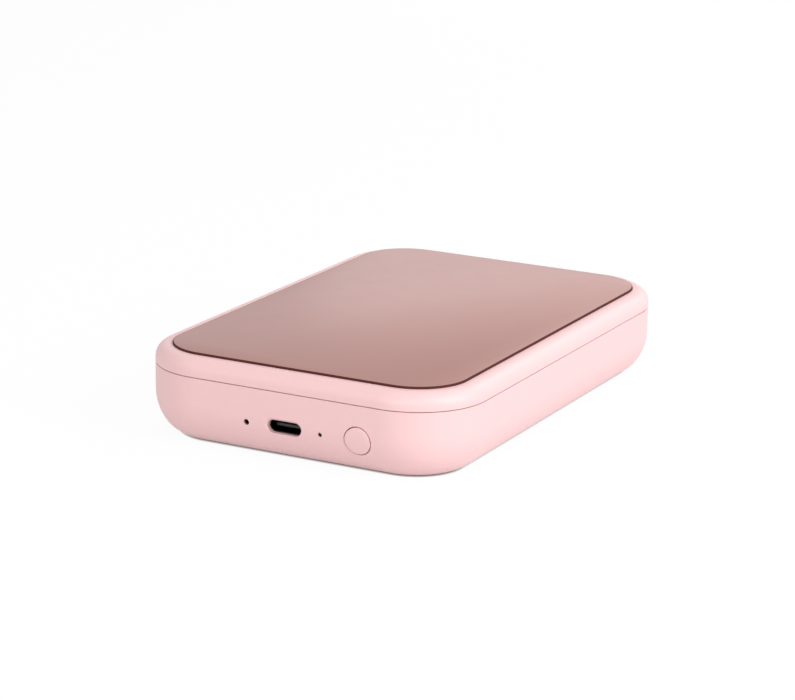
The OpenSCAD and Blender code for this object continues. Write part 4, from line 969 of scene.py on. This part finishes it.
low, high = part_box("spring_bridge")
strip = box_shape(low, high)
round_edges(strip, [e for e in strip.edges if runs_along(e, Z)], BRIDGE_CORNER, 5)
round_edges(strip, [e for e in strip.edges if not runs_along(e, Z)], BRIDGE_ROUND, 2)
parts = [(strip, 0)]
middle_y = (low.y + high.y) / 2
for side in (-1, 1):
    seat = (side * SEAT_X, middle_y, low.z - SEAT_PROUD)
    parts.append((disc(seat, SEAT_RADIUS, SEAT_HEIGHT, SEAT_CHAMFER, 32), 0))
    rib = Vector((side * RIB_X, middle_y, high.z))
    rib_low, rib_high = rib - RIB_HALF - Z * RIB_BITE, rib + RIB_HALF + Z * RIB_PROUD
    parts.append((soft_block(rib_low, rib_high, RIB_PROUD, 3), 0))
piece("head_bridge", assemble(parts), [steel], "base", ["spring_bridge"])


# Stage, light and camera

FLOOR_RADIUS = 6
WHITE_SEEN = 0.92
# How far the painted contact shade on the table reaches
CONTACT_REACH = 0.55 * MM

floor_shape = bmesh.new()
bmesh.ops.create_circle(floor_shape, cap_ends=True, segments=96, radius=FLOOR_RADIUS)
floor_mesh = bpy.data.meshes.new("floor")
floor_shape.to_mesh(floor_mesh)
floor_shape.free()
floor = bpy.data.objects.new("floor", floor_mesh)
bpy.context.scene.collection.objects.link(floor)


def seen_by_eye(tree):
    """1 for a ray from the camera, a mirror or glass, and 0 for one that brings light to a surface."""
    path = add_node(tree, "ShaderNodeLightPath", {})
    mirrored = add_node(tree, "ShaderNodeMath", {
        0: path.outputs["Is Glossy Ray"], 1: path.outputs["Is Transmission Ray"]}, operation="MAXIMUM")
    seen = add_node(tree, "ShaderNodeMath", {
        0: path.outputs["Is Camera Ray"], 1: mirrored.outputs["Value"]}, operation="MAXIMUM")
    return seen.outputs["Value"]


# White table top: seen as white by the eye and in reflections. It still takes the printer's shadow, and a
# painted shade, dark red-brown, is laid over its glow in the narrow gap under the rounded lower edge
table = bpy.data.materials.new("White table")
tree = empty_tree(table)
share = add_node(tree, "ShaderNodeMath", {0: seen_by_eye(tree), 1: WHITE_SEEN}, operation="MULTIPLY")
matt = add_node(tree, "ShaderNodeBsdfDiffuse", {"Color": linear("#E4E4E4")})
contact = add_node(tree, "ShaderNodeAmbientOcclusion", {"Distance": CONTACT_REACH}, samples=16)
# Painted shade: the glow turns dark red-brown where the printer's lower edge closes in over the table
glow_with_painted_shade = add_node(tree, "ShaderNodeMix", {
    0: contact.outputs["AO"], 6: linear("#5A3632"), 7: linear("#FFFFFF")}, data_type="RGBA")
glow = add_node(tree, "ShaderNodeEmission", {"Color": glow_with_painted_shade.outputs[2], "Strength": 1.02})
mixed = add_node(tree, "ShaderNodeMixShader", {"Fac": share.outputs["Value"]})
tree.links.new(matt.outputs["BSDF"], mixed.inputs[1])
tree.links.new(glow.outputs["Emission"], mixed.inputs[2])
add_node(tree, "ShaderNodeOutputMaterial", {"Surface": mixed.outputs["Shader"]})
floor_mesh.materials.append(table)

# Studio room: white to the eye and in reflections, and a softer light on everything else
AMBIENT = 0.475
world = bpy.data.worlds.new("Studio room")
bpy.context.scene.world = world
tree = empty_tree(world)
level = add_node(tree, "ShaderNodeMapRange", {
    "Value": seen_by_eye(tree), "To Min": AMBIENT, "To Max": 1.0})
room = add_node(tree, "ShaderNodeBackground", {
    "Color": linear("#FFFFFF"), "Strength": level.outputs["Result"]})
add_node(tree, "ShaderNodeOutputWorld", {"Surface": room.outputs["Background"]})


def softbox(name, place, size, power):
    """A square area lamp at place that points at the printer."""
    lamp = bpy.data.lights.new(name, "AREA")
    lamp.shape = "SQUARE"
    lamp.size = size
    lamp.energy = power
    made = bpy.data.objects.new(name, lamp)
    made.location = place
    made.rotation_euler = (TARGET - Vector(place)).to_track_quat("-Z", "Y").to_euler()
    bpy.context.scene.collection.objects.link(made)


TARGET = Vector((0, 0, 0.011))
softbox("key_softbox", (0.75, -0.15, 0.45), 0.5, 4.1)
softbox("right_softbox", (0.85, 0.1, 0.2), 0.4, 0.9)
softbox("front_softbox", (0.05, -0.85, 0.35), 0.5, 2.55)
softbox("rear_softbox", (0.25, 0.65, 0.5), 0.5, 1.4)
softbox("top_softbox", (0, 0.1, 0.9), 0.6, 0.4)
softbox("panel_softbox", (-0.22, 0.58, 0.155), 0.28, 0.1)

# Camera at the photograph's place: turned and raised round the target, then panned, tilted and rolled
AZIMUTH, ELEVATION = math.radians(27.497), math.radians(15.948)
DISTANCE = 0.683758
PAN, TILT, ROLL = math.radians(-0.271), math.radians(0.039), math.radians(0.898)
LENS, SENSOR = 129.47, 36.0

back = Vector((
    math.sin(AZIMUTH) * math.cos(ELEVATION), -math.cos(AZIMUTH) * math.cos(ELEVATION), math.sin(ELEVATION)))
ahead = -back
right = ahead.cross(Z).normalized()
up = right.cross(ahead)
ahead, right = ahead * math.cos(PAN) + right * math.sin(PAN), right * math.cos(PAN) - ahead * math.sin(PAN)
ahead, up = ahead * math.cos(TILT) + up * math.sin(TILT), up * math.cos(TILT) - ahead * math.sin(TILT)
right, up = right * math.cos(ROLL) + up * math.sin(ROLL), up * math.cos(ROLL) - right * math.sin(ROLL)

view = bpy.data.cameras.new("camera")
view.lens = LENS
view.sensor_width = SENSOR
camera = bpy.data.objects.new("camera", view)
turn = Matrix((right, up, -ahead)).transposed().to_4x4()
camera.matrix_world = Matrix.Translation(TARGET + back * DISTANCE) @ turn
bpy.context.scene.collection.objects.link(camera)
bpy.context.scene.camera = camera
bpy.context.scene.view_settings.view_transform = "Standard"

for unused in [o for o in bpy.data.objects if o.name in ("Cube", "Light", "Camera")]:
    bpy.data.objects.remove(unused)
